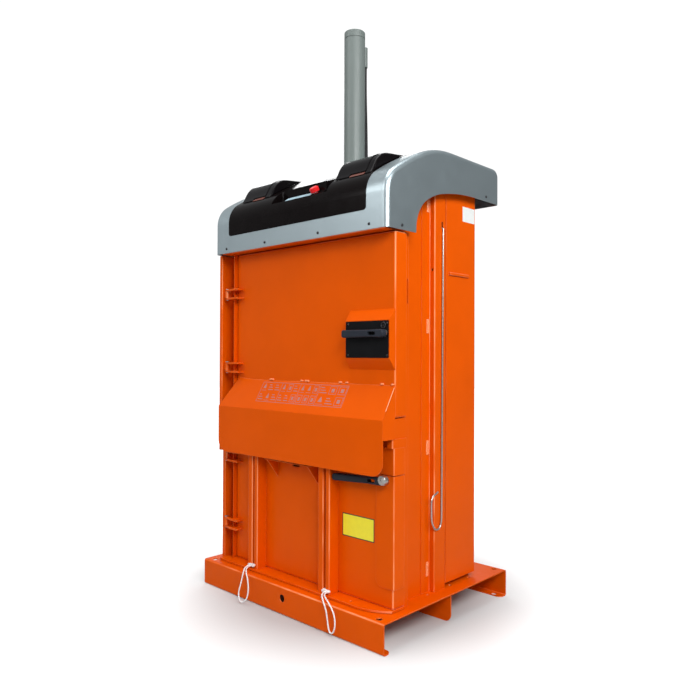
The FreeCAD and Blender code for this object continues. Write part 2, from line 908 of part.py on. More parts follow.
def make_lever(length, height, back_y):
    """A grip that points to -X from a round hub, with a long window beside the hub."""
    hub = Part.makeCylinder(lever_hub_radius, lever_thickness, Vector(0, 0, 0), Y_AXIS * -1)
    half = height / 2
    neck = lever_window_offset + lever_window_length / 2
    outline = [front(0, lever_hub_radius), front(-neck, half * 0.9), front(-length, half),
               front(-length, -half), front(-neck, -half * 0.9), front(0, -lever_hub_radius)]
    bar = prism(outline, Y_AXIS * -lever_thickness)

    def is_tip(edge):
        return runs_along(edge, Y_AXIS) and edge.CenterOfMass.x < -length + 1

    bar = fillet_where(bar, lever_edge * 1.6, is_tip)
    grip = fuse_all([bar, hub])
    front_edges = [edge for edge in grip.Edges if abs(edge.BoundBox.YMax + lever_thickness) < 0.01]
    grip = grip.makeFillet(lever_edge, front_edges)
    window = rounded_rectangle(-lever_window_offset - lever_window_length / 2,
                               -lever_window_offset + lever_window_length / 2,
                               -lever_window_height / 2, lever_window_height / 2,
                               lever_window_height / 2 - 0.5, -lever_thickness - 1)
    grip = grip.cut(window.extrude(Y_AXIS * (lever_thickness + 2)))
    grip.translate(Vector(0, back_y, 0))
    return grip


def make_spindle(front_y, radius_front, front_height):
    """A handle spindle with its front boss and the latch cam inside the door."""
    cam_y = door_back - door_sheet - cam_depth
    boss = Part.makeCylinder(radius_front, front_height, Vector(0, front_y, 0), Y_AXIS)
    shaft = Part.makeCylinder(spindle_radius, cam_y + cam_thickness - front_y, Vector(0, front_y, 0), Y_AXIS)
    hub = Part.makeCylinder(cam_hub_radius, cam_thickness, Vector(0, cam_y, 0), Y_AXIS)
    nose = box(-cam_radius, 0, cam_y, cam_y + cam_thickness, -cam_hub_radius / 2, cam_hub_radius / 2)
    return fuse_all([boss, shaft, hub, nose])


def make_upper_lever():
    """The upper handle."""
    back = housing_front - plate_thickness - lever_standoff
    lever = make_lever(lever_length, lever_grip_height, back)
    lever.translate(Vector(upper_pivot_x, 0, upper_pivot_z))
    return lever


def make_upper_spindle():
    """The upper spindle, with a collar between plate and lever."""
    collar_front = housing_front - plate_thickness - lever_standoff
    spindle = make_spindle(collar_front, lever_hub_radius - 1, lever_standoff - fit_gap)
    spindle.translate(Vector(upper_pivot_x, 0, upper_pivot_z))
    return spindle


# ================================================================ lower door
def make_lower_door():
    """The lower door skin with its strap slots, ledge and the two brackets under the ledge."""
    tray = make_door_tray(lower_door_right, lower_door_bottom, lower_door_top)
    tray = tray.cut(spindle_hole(lower_pivot_x, lower_pivot_z))
    for x in channel_xs:
        tray = tray.cut(box(x - channel_slot / 2, x + channel_slot / 2, door_front - 1,
                            door_front + 2 * door_sheet,
                            lower_door_bottom - 1, lower_door_top + 1))
    slot = box(skin_slot_x - skin_slot_length / 2, skin_slot_x + skin_slot_length / 2,
               door_front - 1, door_front + 2 * door_sheet,
               skin_slot_z - skin_slot_height / 2, skin_slot_z + skin_slot_height / 2)
    tray = tray.cut(slot)
    pieces = [tray]
    for x in gusset_xs:
        outline = [side(door_front, lower_door_top - ledge_thickness),
                   side(door_front, lower_door_top - gusset_height),
                   side(door_front - gusset_reach, lower_door_top - ledge_thickness)]
        gusset = prism(outline, X_AXIS * gusset_thickness)
        gusset.translate(Vector(x - gusset_thickness / 2, 0, 0))
        pieces.append(gusset)
    pieces.append(box(gusset_xs[0] - ledge_margin, gusset_xs[1] + ledge_margin,
                      door_front - gusset_reach, door_front + door_sheet,
                      lower_door_top - ledge_thickness, lower_door_top))
    return fuse_all(pieces)


def make_lower_liner():
    """The inner sheet of the lower door, open along the strap slots."""
    liner = make_liner(lower_door_right, lower_door_bottom, lower_door_top, lower_pivot_x, lower_pivot_z)
    for x in channel_xs:
        liner = liner.cut(box(x - channel_slot / 2, x + channel_slot / 2, door_back - 2 * door_sheet,
                              door_back + 1,
                              lower_door_bottom + 4 * door_sheet, lower_door_top - 4 * door_sheet))
    return liner


def make_strap_channel(x, gusset_clear):
    """Two folded ribs with a strap slot between them."""
    half = rib_sheet / 2
    bottom = lower_door_bottom
    height = lower_door_top - bottom - gusset_clear
    gap = channel_slot / 2
    left = [(x - gap - rib_left_width + half, door_front),
            (x - gap - rib_left_width + half, rib_front + half),
            (x - gap - half, rib_front + half), (x - gap - half, door_front)]
    right = [(x + gap + half, door_front), (x + gap + half, rib_front + half),
             (x + gap + rib_right_width - half, rib_front + half),
             (x + gap + rib_right_width - half, door_front)]
    start = Vector(0, 0, bottom)
    return [folded_sheet(path, rib_sheet, rib_bend, plan, start, height) for path in (left, right)]


def make_strap_channels():
    """The four ribs that stand out from the lower door."""
    ribs = []
    for x in channel_xs:
        ribs += make_strap_channel(x, 0)
    return Part.makeCompound(ribs)


def make_door_flange():
    """The foot plate of the lower door: straight in front, curving back to the latch side."""
    z = door_flange_rise
    points = [Vector(door_flange_left, hinge_y - lip_clearance, z),
              Vector(door_flange_left, door_flange_front, z),
              Vector(door_flange_straight, door_flange_front, z)]
    curve = Part.Arc(points[2], Vector(door_flange_bend_x, door_flange_bend_y, z),
                     Vector(lower_door_right, door_front - door_flange_end, z))
    outline = [Vector(lower_door_right, door_back, z), Vector(door_left, door_back, z),
               Vector(door_left, hinge_y - lip_clearance, z), points[0], points[1], points[2]]
    here = Vector(lower_door_right, door_front - door_flange_end, z)
    edges = [curve.toShape()]
    for corner in outline:
        edges.append(Part.makeLine(here, corner))
        here = corner
    plate = Part.Face(Part.Wire(edges)).extrude(Z_AXIS * door_flange_thickness)
    hole = Part.makeCylinder(door_flange_hole / 2, 3 * door_flange_thickness,
                             Vector(door_flange_hole_x, door_flange_hole_y, z - door_flange_thickness))
    return plate.cut(hole)


def corner_strip_path():
    """Plan centre line of the cover that wraps the latch-side corner."""
    half = strip_sheet / 2
    return [(strip_left, strip_front + half), (strip_right - half, strip_front + half),
            (strip_right - half, strip_back)]


def make_latch_strip():
    """The latch-side cover on the lower door, its lower left corner rounded."""
    height = lower_door_top - strip_bottom
    strip = folded_sheet(corner_strip_path(), strip_sheet, strip_bend, plan, Vector(0, 0, strip_bottom),
                         height)

    def is_lower_left(edge):
        middle = edge.CenterOfMass
        return runs_along(edge, Y_AXIS) and middle.z < strip_bottom + 1 and middle.x < strip_left + 1

    strip = fillet_where(strip, strip_corner, is_lower_left)
    packer = box(strip_left + strip_corner, lower_door_right, strip_front + strip_sheet, door_front,
                 strip_bottom + strip_corner, lower_door_top)
    strip = fuse_all([strip, packer])
    return strip.cut(spindle_hole(lower_pivot_x, lower_pivot_z))


def make_lower_lever():
    """The lower handle, drooping a little."""
    back = strip_front - nut_height
    lever = make_lever(lower_lever_length, lower_lever_grip_height, back)
    lever.rotate(Vector(0, 0, 0), Y_AXIS, -lower_lever_drop)
    lever.translate(Vector(lower_pivot_x, 0, lower_pivot_z))
    return lever


def make_lower_spindle():
    """The lower spindle, with a turned boss in front of the strip."""
    spindle = make_spindle(strip_front - nut_height, nut_radius, nut_height - fit_gap)
    spindle.translate(Vector(lower_pivot_x, 0, lower_pivot_z))
    return spindle


# ================================================================ middle rail
def make_middle_rail():
    """The fixed rail between the doors, behind the flap, with the strip that ends on it."""
    bottom = lower_door_top + rail_gap
    top = upper_door_bottom - rail_gap
    blank = box(door_left, rail_right, door_front, wall_front, bottom, top)
    hollow = box(door_left + door_sheet, rail_right - door_sheet, door_front + door_sheet, wall_front + 1,
                 bottom + door_sheet, top - door_sheet)
    strip = folded_sheet(corner_strip_path(), strip_sheet, strip_bend, plan, Vector(0, 0, bottom),
                         strip_top - bottom)
    packer = box(strip_left, rail_right, strip_front + strip_sheet, door_front, bottom, strip_top)
    return fuse_all([blank.cut(hollow), strip, packer])


def make_latch_clip():
    """A bent clip over the top of the corner strip."""
    half = strip_sheet / 2
    side_x = rail_right + half
    path = [(clip_left, clip_front + half), (side_x, clip_front + half), (side_x, wall_front)]
    clip = folded_sheet(path, strip_sheet, strip_bend, plan, Vector(0, 0, strip_top), clip_top - strip_top)
    pad = box(clip_left, rail_right - strip_bend, clip_front + half, door_front, strip_top, clip_top)
    return fuse_all([clip, pad])


def make_header():
    """The folded beam over the upper door that the hood is screwed to."""
    half = header_thickness / 2
    path = [(wall_front + wall_sheet, wall_top + half), (header_front + half, wall_top + half),
            (header_front + half, wall_top + header_step),
            (header_lip_y + half, wall_top + header_step + header_step / 2),
            (header_lip_y + half, wall_top + header_height)]
    return folded_sheet(path, header_thickness, header_bend, side, Vector(-header_half, 0, 0),
                        2 * header_half)


# ================================================================ ram
def make_crosshead():
    """The folded beam between the skins that the ram stands on."""
    half = crosshead_sheet / 2
    path = [(crosshead_front + half, crosshead_bottom), (crosshead_front + half, crosshead_top - half),
            (crosshead_back - half, crosshead_top - half), (crosshead_back - half, crosshead_bottom)]
    reach = skin_x - skin_sheet
    beam = folded_sheet(path, crosshead_sheet, crosshead_bend, side, Vector(-reach, 0, 0), 2 * reach)
    hole = Part.makeCylinder(rod_radius + collar_clearance / 2, 4 * crosshead_sheet,
                             Vector(0, ram_y, crosshead_top - 2 * crosshead_sheet))
    return beam.cut(hole)


def make_gland():
    """The flange and plug that close the cylinder's lower end round the rod."""
    flange = box(-gland_width / 2, gland_width / 2, ram_y - gland_depth / 2, ram_y + gland_depth / 2,
                 crosshead_top, crosshead_top + gland_flange)
    flange = fillet_where(flange, gland_flange / 2, lambda edge: runs_along(edge, Z_AXIS))
    plug = Part.makeCylinder(bore_radius, gland_plug, Vector(0, ram_y, cylinder_bottom))
    bore = Part.makeCylinder(rod_radius + running_gap, 3 * gland_plug, Vector(0, ram_y, crosshead_top - 1))
    return fuse_all([flange, plug]).cut(bore)


def make_cylinder_tube():
    """The ram's barrel with a turned groove under its cap and a welded port behind."""
    height = cylinder_top - cylinder_bottom
    groove_z = height - seam_groove * 2
    outline = [(bore_radius, 0), (cylinder_radius, 0), (cylinder_radius, groove_z),
               (cylinder_radius - seam_groove, groove_z), (cylinder_radius - seam_groove, height),
               (bore_radius, height)]
    tube = turned(outline, Vector(0, ram_y, cylinder_bottom), Z_AXIS)
    neck = rod_between(Vector(port_x, ram_y, port_z), Vector(port_x, port_y, port_z), port_radius * port_neck)
    drop = Part.makeCylinder(port_radius, port_height,
                             Vector(port_x, port_y, port_z + port_radius - port_height))
    inside = Part.makeCylinder(bore_radius, height, Vector(0, ram_y, cylinder_bottom))
    return fuse_all([tube, neck.cut(inside), drop])


def make_cylinder_cap():
    """The cap on top of the barrel, its edge turned round."""
    cap = Part.makeCylinder(cylinder_radius, cap_height, Vector(0, ram_y, cylinder_top))
    top = cylinder_top + cap_height
    return fillet_where(cap, cap_edge, lambda edge: abs(edge.CenterOfMass.z - top) < 0.01)


def hose_route():
    """The hose from the port down behind the barrel to the valve block."""
    port = Vector(port_x, port_y, port_z + port_radius - port_height)
    entry = [Vector(port_x + x, port_y + y, hood_top + z) for x, y, z in hose_entry]
    fall = port.z - entry[0].z
    bows = [port + Vector(x, y, -fall * share) for x, y, share in hose_bows]
    return [port] + bows + entry


def tube_along(points, radius):
    """A tube of straight runs joined by arcs as large as the runs allow."""
    edges = []
    radii = []
    here = points[0]
    for before, corner, after in zip(points, points[1:], points[2:]):
        arriving = unit(corner - before)
        leaving = unit(after - corner)
        angle = math.acos(max(-1.0, min(1.0, arriving.dot(leaving))))
        shorter = min((corner - before).Length, (after - corner).Length)
        setback = 0.45 * shorter
        radii.append(setback / math.tan(angle / 2))
        start = corner - arriving * setback
        end = corner + leaving * setback
        inward = unit(leaving - arriving)
        rise = radii[-1] / math.cos(angle / 2) - radii[-1]
        middle = corner + inward * rise
        edges.append(Part.makeLine(here, start))
        edges.append(Part.Arc(start, middle, end).toShape())
        here = end
    edges.append(Part.makeLine(here, points[-1]))
    path = Part.Wire(edges)
    direction = unit(points[1] - points[0])
    ring = Part.Wire(Part.makeCircle(radius, points[0], direction))
    tube = path.makePipeShell([ring], True, False)
    section = math.pi * radius * radius
    print("tube: least radius %.1f, length %.1f, volume / (section x length) %.4f"
          % (min(radii), path.Length, tube.Volume / (section * path.Length)))
    return tube


def make_hose():
    """The pressure hose."""
    return tube_along(hose_route(), hose_radius)


def make_piston_rod():
    """The polished rod, from the foot on the platen up to the piston."""
    top = cylinder_top - piston_top_gap
    bottom = platen_bottom + platen_sheet + platen_rib_height + rod_foot_thickness
    return Part.makeCylinder(rod_radius, top - bottom, Vector(0, ram_y, bottom))


def make_piston():
    """The piston, turned with two seal grooves, round the rod's upper end."""
    top = cylinder_top - piston_top_gap
    groove = piston_height / 7
    outer = bore_radius - running_gap
    depth = outer - seam_groove * 2
    outline = [(rod_radius, 0), (outer, 0), (outer, groove * 2), (depth, groove * 2), (depth, groove * 3),
               (outer, groove * 3), (outer, groove * 4), (depth, groove * 4), (depth, groove * 5),
               (outer, groove * 5), (outer, piston_height), (rod_radius, piston_height)]
    return turned(outline, Vector(0, ram_y, top - piston_height), Z_AXIS)


def make_platen():
    """The press plate: grooved sheet, edges turned up, two ribs and the foot for the rod."""
    half = platen_sheet / 2
    level = platen_bottom + half
    reach = chamber_width / 2 - platen_side_gap
    length = platen_back - platen_front
    groove = (channel_slot + platen_sheet) / 2
    path = [(-reach + half, level + platen_edge), (-reach + half, level)]
    for x in channel_xs:
        crest = level + channel_depth
        path += [(x - groove, level), (x - groove, crest), (x + groove, crest), (x + groove, level)]
    path += [(reach - half, level), (reach - half, level + platen_edge)]
    sheet = folded_sheet(path, platen_sheet, channel_bend + half, front, Vector(0, platen_front, 0), length)
    pieces = [sheet]
    floor = platen_bottom + platen_sheet
    for y in platen_rib_ys:
        pieces.append(box(-reach + platen_sheet, reach - platen_sheet, y - platen_rib_sheet / 2,
                          y + platen_rib_sheet / 2, floor, floor + platen_rib_height))
    deck = floor + platen_rib_height
    pieces.append(box(-rod_foot_width / 2, rod_foot_width / 2, platen_rib_ys[0] - platen_rib_sheet,
                      platen_rib_ys[1] + platen_rib_sheet, deck, deck + rod_foot_thickness))
    platen = fuse_all(pieces)
    for x in channel_xs:
        platen = platen.cut(box(x - channel_slot / 2, x + channel_slot / 2, platen_front - 1, platen_back + 1,
                                platen_bottom - 1, platen_bottom + channel_depth))
    return platen


# ================================================================ hood
def crown_centres():
    """The centres of the hood outline's brow, shoulder and crown arcs."""
    brow_centre_y = hood_front + brow_radius
    crown_centre_z = hood_top - crown_radius
    crown_start = Vector(0, crown_end - crown_radius * math.sin(crown_slope),
                         crown_centre_z + crown_radius * math.cos(crown_slope))
    shoulder_centre = crown_start + Vector(0, shoulder_radius * math.sin(crown_slope),
                                           -shoulder_radius * math.cos(crown_slope))
    shoulder_start = shoulder_centre + Vector(0, -shoulder_radius * math.sin(shoulder_slope),
                                              shoulder_radius * math.cos(shoulder_slope))
    brow_centre = shoulder_start + Vector(0, brow_radius * math.sin(shoulder_slope),
                                          -brow_radius * math.cos(shoulder_slope))
    brow_centre.y = brow_centre_y
    crown_centre = Vector(0, crown_end, crown_centre_z)
    return brow_centre, shoulder_centre, crown_centre


def on_arc(centre, radius, slope):
    """The point of an arc where its outline has a slope."""
    return centre + Vector(0, -radius * math.sin(slope), radius * math.cos(slope))


def crown_edges(inset, back_y):
    """The hood outline from the front wall over the brow, shoulder and crown to a depth."""
    brow, shoulder, crown = crown_centres()
    end_slope = math.asin((crown_end - back_y) / crown_radius) if back_y < crown_end else 0.0
    arcs = [(brow, brow_radius - inset, math.pi / 2, shoulder_slope),
            (shoulder, shoulder_radius - inset, shoulder_slope, crown_slope),
            (crown, crown_radius - inset, crown_slope, end_slope)]
    edges = []
    for centre, radius, first, last in arcs:
        start = on_arc(centre, radius, first)
        if edges:
            start = edges[-1].Vertexes[-1].Point
        edges.append(Part.Arc(start, on_arc(centre, radius, (first + last) / 2),
                              on_arc(centre, radius, last)).toShape())
    return edges


def crown_block(inset, back_y, half):
    """The filled form under the hood's outline, between two sides and as far back as a depth."""
    edges = crown_edges(inset, back_y)
    here = edges[-1].Vertexes[-1].Point
    face = closed_face(edges, [side(here.y, hood_bottom), side(hood_front + inset, hood_bottom)])
    block = face.extrude(X_AXIS * (2 * half))
    block.translate(Vector(-half, 0, 0))
    return block


def crown_height(y, inset):
    """Height of the hood outline at a depth, for the shoulder and crown."""
    brow, shoulder, crown = crown_centres()
    crown_start = on_arc(crown, crown_radius, crown_slope)
    shoulder_start = on_arc(shoulder, shoulder_radius, shoulder_slope)
    if y > crown_start.y:
        centre, radius = crown, crown_radius - inset
    elif y > shoulder_start.y:
        centre, radius = shoulder, shoulder_radius - inset
    else:
        centre, radius = brow, brow_radius - inset
    return centre.z + math.sqrt(radius * radius - (y - centre.y) ** 2)


def closed_face(edges, corners):
    """A face from a chain of edges closed through corner points."""
    start = edges[0].Vertexes[0].Point
    here = edges[-1].Vertexes[-1].Point
    for corner in list(corners) + [start]:
        edges.append(Part.makeLine(here, corner))
        here = corner
    return Part.Face(Part.Wire(edges))


def hood_body(inset, bottom):
    """The hood's filled form, moved inwards by an inset, down to a level."""
    edges = crown_edges(inset, crown_end)
    here = edges[-1].Vertexes[-1].Point
    back = hood_back - inset
    radius = rear_radius - inset
    corner = Vector(0, back - radius, hood_top - inset)
    edges.append(Part.makeLine(here, corner))
    diagonal = radius * math.sqrt(0.5)
    middle = corner + Vector(0, diagonal, diagonal - radius)
    edges.append(Part.Arc(corner, middle, corner + Vector(0, radius, -radius)).toShape())
    face = closed_face(edges, [side(back, bottom), side(hood_front + inset, bottom)])
    half = hood_half - inset
    body = face.extrude(X_AXIS * (2 * half))
    body.translate(Vector(-half, 0, 0))
    round_radius = hood_edge_radius - inset

    def is_side_edge(edge):
        middle_point = edge.CenterOfMass
        at_side = abs(abs(edge.BoundBox.XMin) - half) < 0.01 and edge.BoundBox.XLength < 0.01
        return at_side and middle_point.z > bottom + 1

    return fillet_where(body, round_radius, is_side_edge)


def arch_cutter():
    """What is cut away below the hood's sides behind its front legs."""
    first, second, third = arch_radii
    steep, gentle = arch_slopes
    upright = math.pi / 2
    edges = []
    centre = Vector(0, leg_end + first, arch_start)
    start = on_arc(centre, first, upright)
    for radius, begin, finish in ((first, upright, steep), (second, steep, gentle), (third, gentle, 0.0)):
        middle = on_arc(centre, radius, (begin + finish) / 2)
        end = on_arc(centre, radius, finish)
        edges.append(Part.Arc(start, middle, end).toShape())
        start = end
        following = {first: second, second: third, third: third}[radius]
        centre = end + (centre - end).normalize() * following
    face = closed_face(edges, [Vector(0, hood_back + 1, end.z), side(hood_back + 1, hood_bottom - 1),
                               side(leg_end, hood_bottom - 1)])
    cutter = face.extrude(X_AXIS * (2 * hood_half + 2))
    cutter.translate(Vector(-hood_half - 1, 0, 0))
    return cutter


def console_window(margin):
    """The prism through the hood's front and shoulder that the console fills."""
    half = console_half + margin
    low = console_bottom - margin
    back = console_back + margin
    blank = box(-half, half, hood_front - 10, back, low, hood_top + 10)

    def is_lower_corner(edge):
        return runs_along(edge, Y_AXIS) and edge.CenterOfMass.z < low + 1

    return fillet_where(blank, console_corner + margin, is_lower_corner)


def make_hood():
    """The hood shell: open below, arched over the sides, with the console and ram openings."""
    shell = hood_body(0.0, hood_bottom).cut(hood_body(hood_sheet, hood_bottom - 20))
    shell = shell.cut(arch_cutter())
    shell = shell.cut(console_window(0.0))
    radius = cylinder_radius + collar_clearance
    opening = Part.makeCylinder(radius, hood_top, Vector(0, ram_y, hood_underside))
    notch = box(port_x - port_radius, port_x + 3 * port_radius, ram_y, port_y + 3 * port_radius,
                hood_underside, hood_top + 1)
    return shell.cut(opening).cut(notch)


def console_layer(outer_inset, inner_inset, margin):
    """A band of the hood's form between two insets, trimmed to the console window."""
    half = console_half + console_lap * 2
    reach = console_back + console_lap + console_corner / 2
    band = crown_block(outer_inset, reach, half).cut(crown_block(inner_inset, reach, half))
    return band.common(console_window(margin))


def recess_floor():
    """Level of the recess floor, where it runs out through the console's brow."""
    return crown_height(recess_front, 0.0)


def recess_block(wall):
    """The recess as a block open to the front and above, grown by a wall."""
    block = box(recess_left - wall, recess_right + wall, hood_front - console_lap, recess_back + wall,
                recess_floor() - wall, hood_top)

    def is_back_corner(edge):
        return runs_along(edge, Z_AXIS) and edge.CenterOfMass.y > recess_back - 1

    return fillet_where(block, recess_corner + wall, is_back_corner)


def make_control_unit():
    """The control unit's case on the back wall of the recess, with a sloping ledge at its foot."""
    z0 = recess_floor() + unit_lift
    face = recess_back - unit_depth
    back = recess_back + console_sheet / 2
    outline = [side(back, z0), side(face - unit_ledge_depth, z0), side(face, z0 + unit_ledge_height),
               side(face, z0 + unit_height), side(back, z0 + unit_height)]
    case = prism(outline, X_AXIS * (unit_right - unit_left))
    case.translate(Vector(unit_left, 0, 0))
    return case


def lid_opening(start):
    """What is cut through the console under a strap lid."""
    middle = roll_centre(start)
    half = roll_width / 2 + ear_gap
    reach = roll_radius + roll_opening_gap
    return box(middle - half, middle + half, roll_y - reach, roll_y + reach, hood_bottom, hood_top)


def roll_centre(start):
    """The middle of the strap roll under a lid."""
    return start + roll_offset


def roll_level():
    """Height of the strap spindles."""
    return crown_height(roll_y, 0.0) - roll_drop


def make_ear(x):
    """A hanger below the console for one end of a strap spindle."""
    level = roll_level()
    half = ear_width / 2
    outline = [side(roll_y - half, crown_height(roll_y - half, hood_sheet)),
               side(roll_y - half, level - half),
               side(roll_y + half, level - half),
               side(roll_y + half, crown_height(roll_y + half, hood_sheet))]
    ear = prism(outline, X_AXIS * ear_thickness)
    ear.translate(Vector(x, 0, 0))
    return ear


def lid_axis(x):
    """A point of the lids' hinge axis."""
    level = crown_height(lid_hinge_y, -console_proud) + lid_barrel_gap + lid_barrel_radius
    return Vector(x, lid_hinge_y, level)


def knuckle_centres(start):
    """Where the two hinge knuckles of a lid are along it."""
    return start + lid_knuckle_offset, start + lid_length - lid_knuckle_offset


def make_knuckle(x):
    """A hinge knuckle on the console with its pin reaching out at both sides."""
    axis = lid_axis(x)
    hub = Part.makeCylinder(lid_barrel_radius, 2 * lid_knuckle_half, axis - X_AXIS * lid_knuckle_half, X_AXIS)
    web = box(x - lid_knuckle_half, x + lid_knuckle_half, axis.y - lid_barrel_radius,
              axis.y + lid_barrel_radius,
              crown_height(axis.y + lid_barrel_radius, hood_sheet), axis.z)
    reach = lid_knuckle_half + lid_barrel_length
    pin = Part.makeCylinder(lid_pin_radius, 2 * reach, axis - X_AXIS * reach, X_AXIS)
    return fuse_all([hub, web, pin])


def make_console():
    """The moulded console: a flush skin lapped under the hood, a recess with its control unit,
    the lids' hinge knuckles and the roll hangers."""
    skin = console_layer(-console_proud, hood_sheet + fit_gap, -fit_gap)
    lap = console_layer(hood_sheet + fit_gap / 10, hood_sheet + console_sheet, console_lap)
    body = fuse_all([skin, lap])
    wall = recess_block(console_sheet).common(crown_block(0.0, console_back, console_half))
    body = body.fuse(wall).cut(recess_block(0.0)).fuse(make_control_unit())
    level = roll_level()
    for start in lid_starts:
        body = body.cut(lid_opening(start))
        middle = roll_centre(start)
        reach = roll_width / 2 + ear_gap
        for x in (middle - reach - ear_thickness, middle + reach):
            body = body.fuse(make_ear(x))
        bore = Part.makeCylinder(roll_core_radius, 2 * reach + 4 * ear_thickness,
                                 Vector(middle - reach - 2 * ear_thickness, roll_y, level), X_AXIS)
        body = body.cut(bore)
        for x in knuckle_centres(start):
            body = body.fuse(make_knuckle(x))
    bore = Part.makeCylinder(stop_stem_radius + running_gap * 2, 3 * stop_stem_length,
                             stop_seat() - stop_axis() * 2 * stop_stem_length, stop_axis())
    return body.cut(bore).removeSplitter()


def stop_axis():
    """The way the emergency stop points: square to the control unit's ledge."""
    return unit(Vector(0, -unit_ledge_height, unit_ledge_depth))


def stop_seat():
    """Where the emergency stop's axis meets the middle of the ledge."""
    return Vector(stop_x, recess_back - unit_depth - unit_ledge_depth / 2,
                  recess_floor() + unit_lift + unit_ledge_height / 2)


def make_emergency_stop():
    """The mushroom button on its stem."""
    top = stop_gap + stop_height
    bevel = stop_height * stop_bevel
    outline = [(0, -stop_stem_length), (stop_stem_radius, -stop_stem_length), (stop_stem_radius, stop_gap),
               (stop_radius * stop_rim, stop_gap), (stop_radius, stop_gap + bevel),
               (stop_radius, top - bevel), (stop_radius * stop_rim, top), (0, top)]
    return turned(outline, stop_seat(), stop_axis())


# ================================================================ strap lids
def lid_curve(inset):
    """The lid's back from its front lip to its hinge, moved inwards by an inset."""
    low = -lid_clearance - console_proud
    points = [side(lid_front + run, crown_height(lid_front + run, low) + rise) for run,
              rise in lid_curve_points]
    curve = Part.BSplineCurve()
    curve.interpolate(points)
    moved = [point + curve.tangent(curve.parameter(point))[0].cross(X_AXIS) * inset for point in points]
    if inset:
        curve = Part.BSplineCurve()
        curve.interpolate(moved)
    return curve


def lid_blank(x, length, inset):
    """A block under the lid's curve, moved inwards by an inset."""
    curve = lid_curve(inset)
    face = closed_face([curve.toShape()],
                       [side(curve.EndPoint.y, hood_bottom), side(curve.StartPoint.y, hood_bottom)])
    blank = face.extrude(X_AXIS * length)
    blank.translate(Vector(x, 0, 0))
    return blank


def make_strap_lid(start):
    """A hollow lid over a strap roll: rounded ends, a rib across it, a strap mouth and hinge barrels."""
    end = start + lid_length

    def is_rounded_edge(edge):
        at_end = edge.BoundBox.XLength < 0.01 and edge.BoundBox.YLength > lid_rear_bar
        return at_end and edge.CenterOfMass.z > hood_bottom + lid_length / 2

    outer = fillet_where(lid_blank(start, lid_length, 0.0), lid_corner, is_rounded_edge)
    outer = outer.fuse(lid_blank(start + lid_rib_start, lid_rib_width, -lid_rib_height))
    inner = lid_blank(start + lid_sheet, lid_length - 2 * lid_sheet, lid_sheet)
    inner = inner.common(box(start, end, hood_front, lid_hinge_y - lid_rear_bar, hood_bottom, hood_top))
    under = crown_block(-lid_clearance - console_proud, console_back, console_half)
    mouth = box(start + lid_mouth[0], start + lid_mouth[1], hood_front, lid_front + lid_mouth_depth,
                hood_bottom, crown_height(lid_front, 0.0) + lid_mouth_height)
    lid = outer.cut(inner).cut(under).cut(mouth)
    for x in knuckle_centres(start):
        axis = lid_axis(x)
        half = lid_knuckle_half + lid_knuckle_gap
        reach = lid_barrel_radius + lid_notch_gap
        lid = lid.cut(box(x - half, x + half, axis.y - reach, axis.y + reach, hood_bottom, hood_top))
        for first in (x - half - lid_barrel_length, x + half):
            lid = lid.fuse(Part.makeCylinder(lid_barrel_radius, lid_barrel_length,
                                             Vector(first, axis.y, axis.z), X_AXIS))
        bore = Part.makeCylinder(lid_pin_radius + running_gap, 2 * (half + lid_barrel_length),
                                 axis - X_AXIS * (half + lid_barrel_length), X_AXIS)
        lid = lid.cut(bore)
    return lid.removeSplitter()


def make_strap_roll(start):
    """A wound roll of strap on its core."""
    x0 = roll_centre(start) - roll_width / 2
    bore = roll_core_radius + fit_gap
    core = bore + 3 * lid_sheet
    outline = [(bore, 0), (core, 0), (core, lid_sheet), (roll_radius - lid_sheet, lid_sheet),
               (roll_radius, 2 * lid_sheet), (roll_radius, roll_width - 2 * lid_sheet),
               (roll_radius - lid_sheet, roll_width - lid_sheet), (core, roll_width - lid_sheet),
               (core, roll_width), (bore, roll_width)]
    return turned(outline, Vector(x0, roll_y, roll_level()), X_AXIS)


def make_spindles():
    """The fixed spindles that the strap rolls turn on."""
    reach = roll_width / 2 + ear_gap + ear_thickness
    return Part.makeCompound([Part.makeCylinder(roll_core_radius, 2 * reach,
                                                Vector(roll_centre(start) - reach, roll_y, roll_level()),
                                                X_AXIS)
                              for start in lid_starts])


# ================================================================ power pack
def make_shelf():
    """The shelf behind the ram that the power pack stands on."""
    half = shelf_sheet / 2
    level = skin_top + half
    low = level - shelf_lip
    path = [(shelf_front, low), (shelf_front, level), (shelf_back, level), (shelf_back, low)]
    return folded_sheet(path, shelf_sheet, post_bend, side, Vector(-shelf_half, 0, 0), 2 * shelf_half)


def make_tank():
    """The oil tank with a filler cap."""
    z0 = skin_top + shelf_sheet
    tank = box(tank_x - tank_length / 2, tank_x + tank_length / 2, power_y - tank_depth / 2,
               power_y + tank_depth / 2,
               z0, z0 + tank_height)
    tank = fillet_where(tank, tank_edge, lambda edge: runs_along(edge, Z_AXIS))
    filler_seat = Vector(tank_x + tank_length / 4, power_y, z0 + tank_height)
    filler = Part.makeCylinder(filler_radius, filler_height, filler_seat)
    return fuse_all([tank, filler])


def make_motor():
    """The electric motor on its feet, with the pump on its end."""
    z0 = skin_top + shelf_sheet
    centre = Vector(motor_x - motor_length / 2, power_y, z0 + motor_radius + motor_foot_lift)
    outline = [(0, 0), (motor_end_radius, 0), (motor_radius, motor_edge),
               (motor_radius, motor_length - motor_edge),
               (motor_end_radius, motor_length), (pump_radius, motor_length),
               (pump_radius, motor_length + pump_length), (0, motor_length + pump_length)]
    body = turned(outline, centre, X_AXIS)
    feet = [box(motor_x - offset - motor_foot_half, motor_x - offset + motor_foot_half,
                power_y - motor_radius, power_y + motor_radius, z0, centre.z)
            for offset in (-motor_foot_offset, motor_foot_offset)]
    return fuse_all([body] + feet)


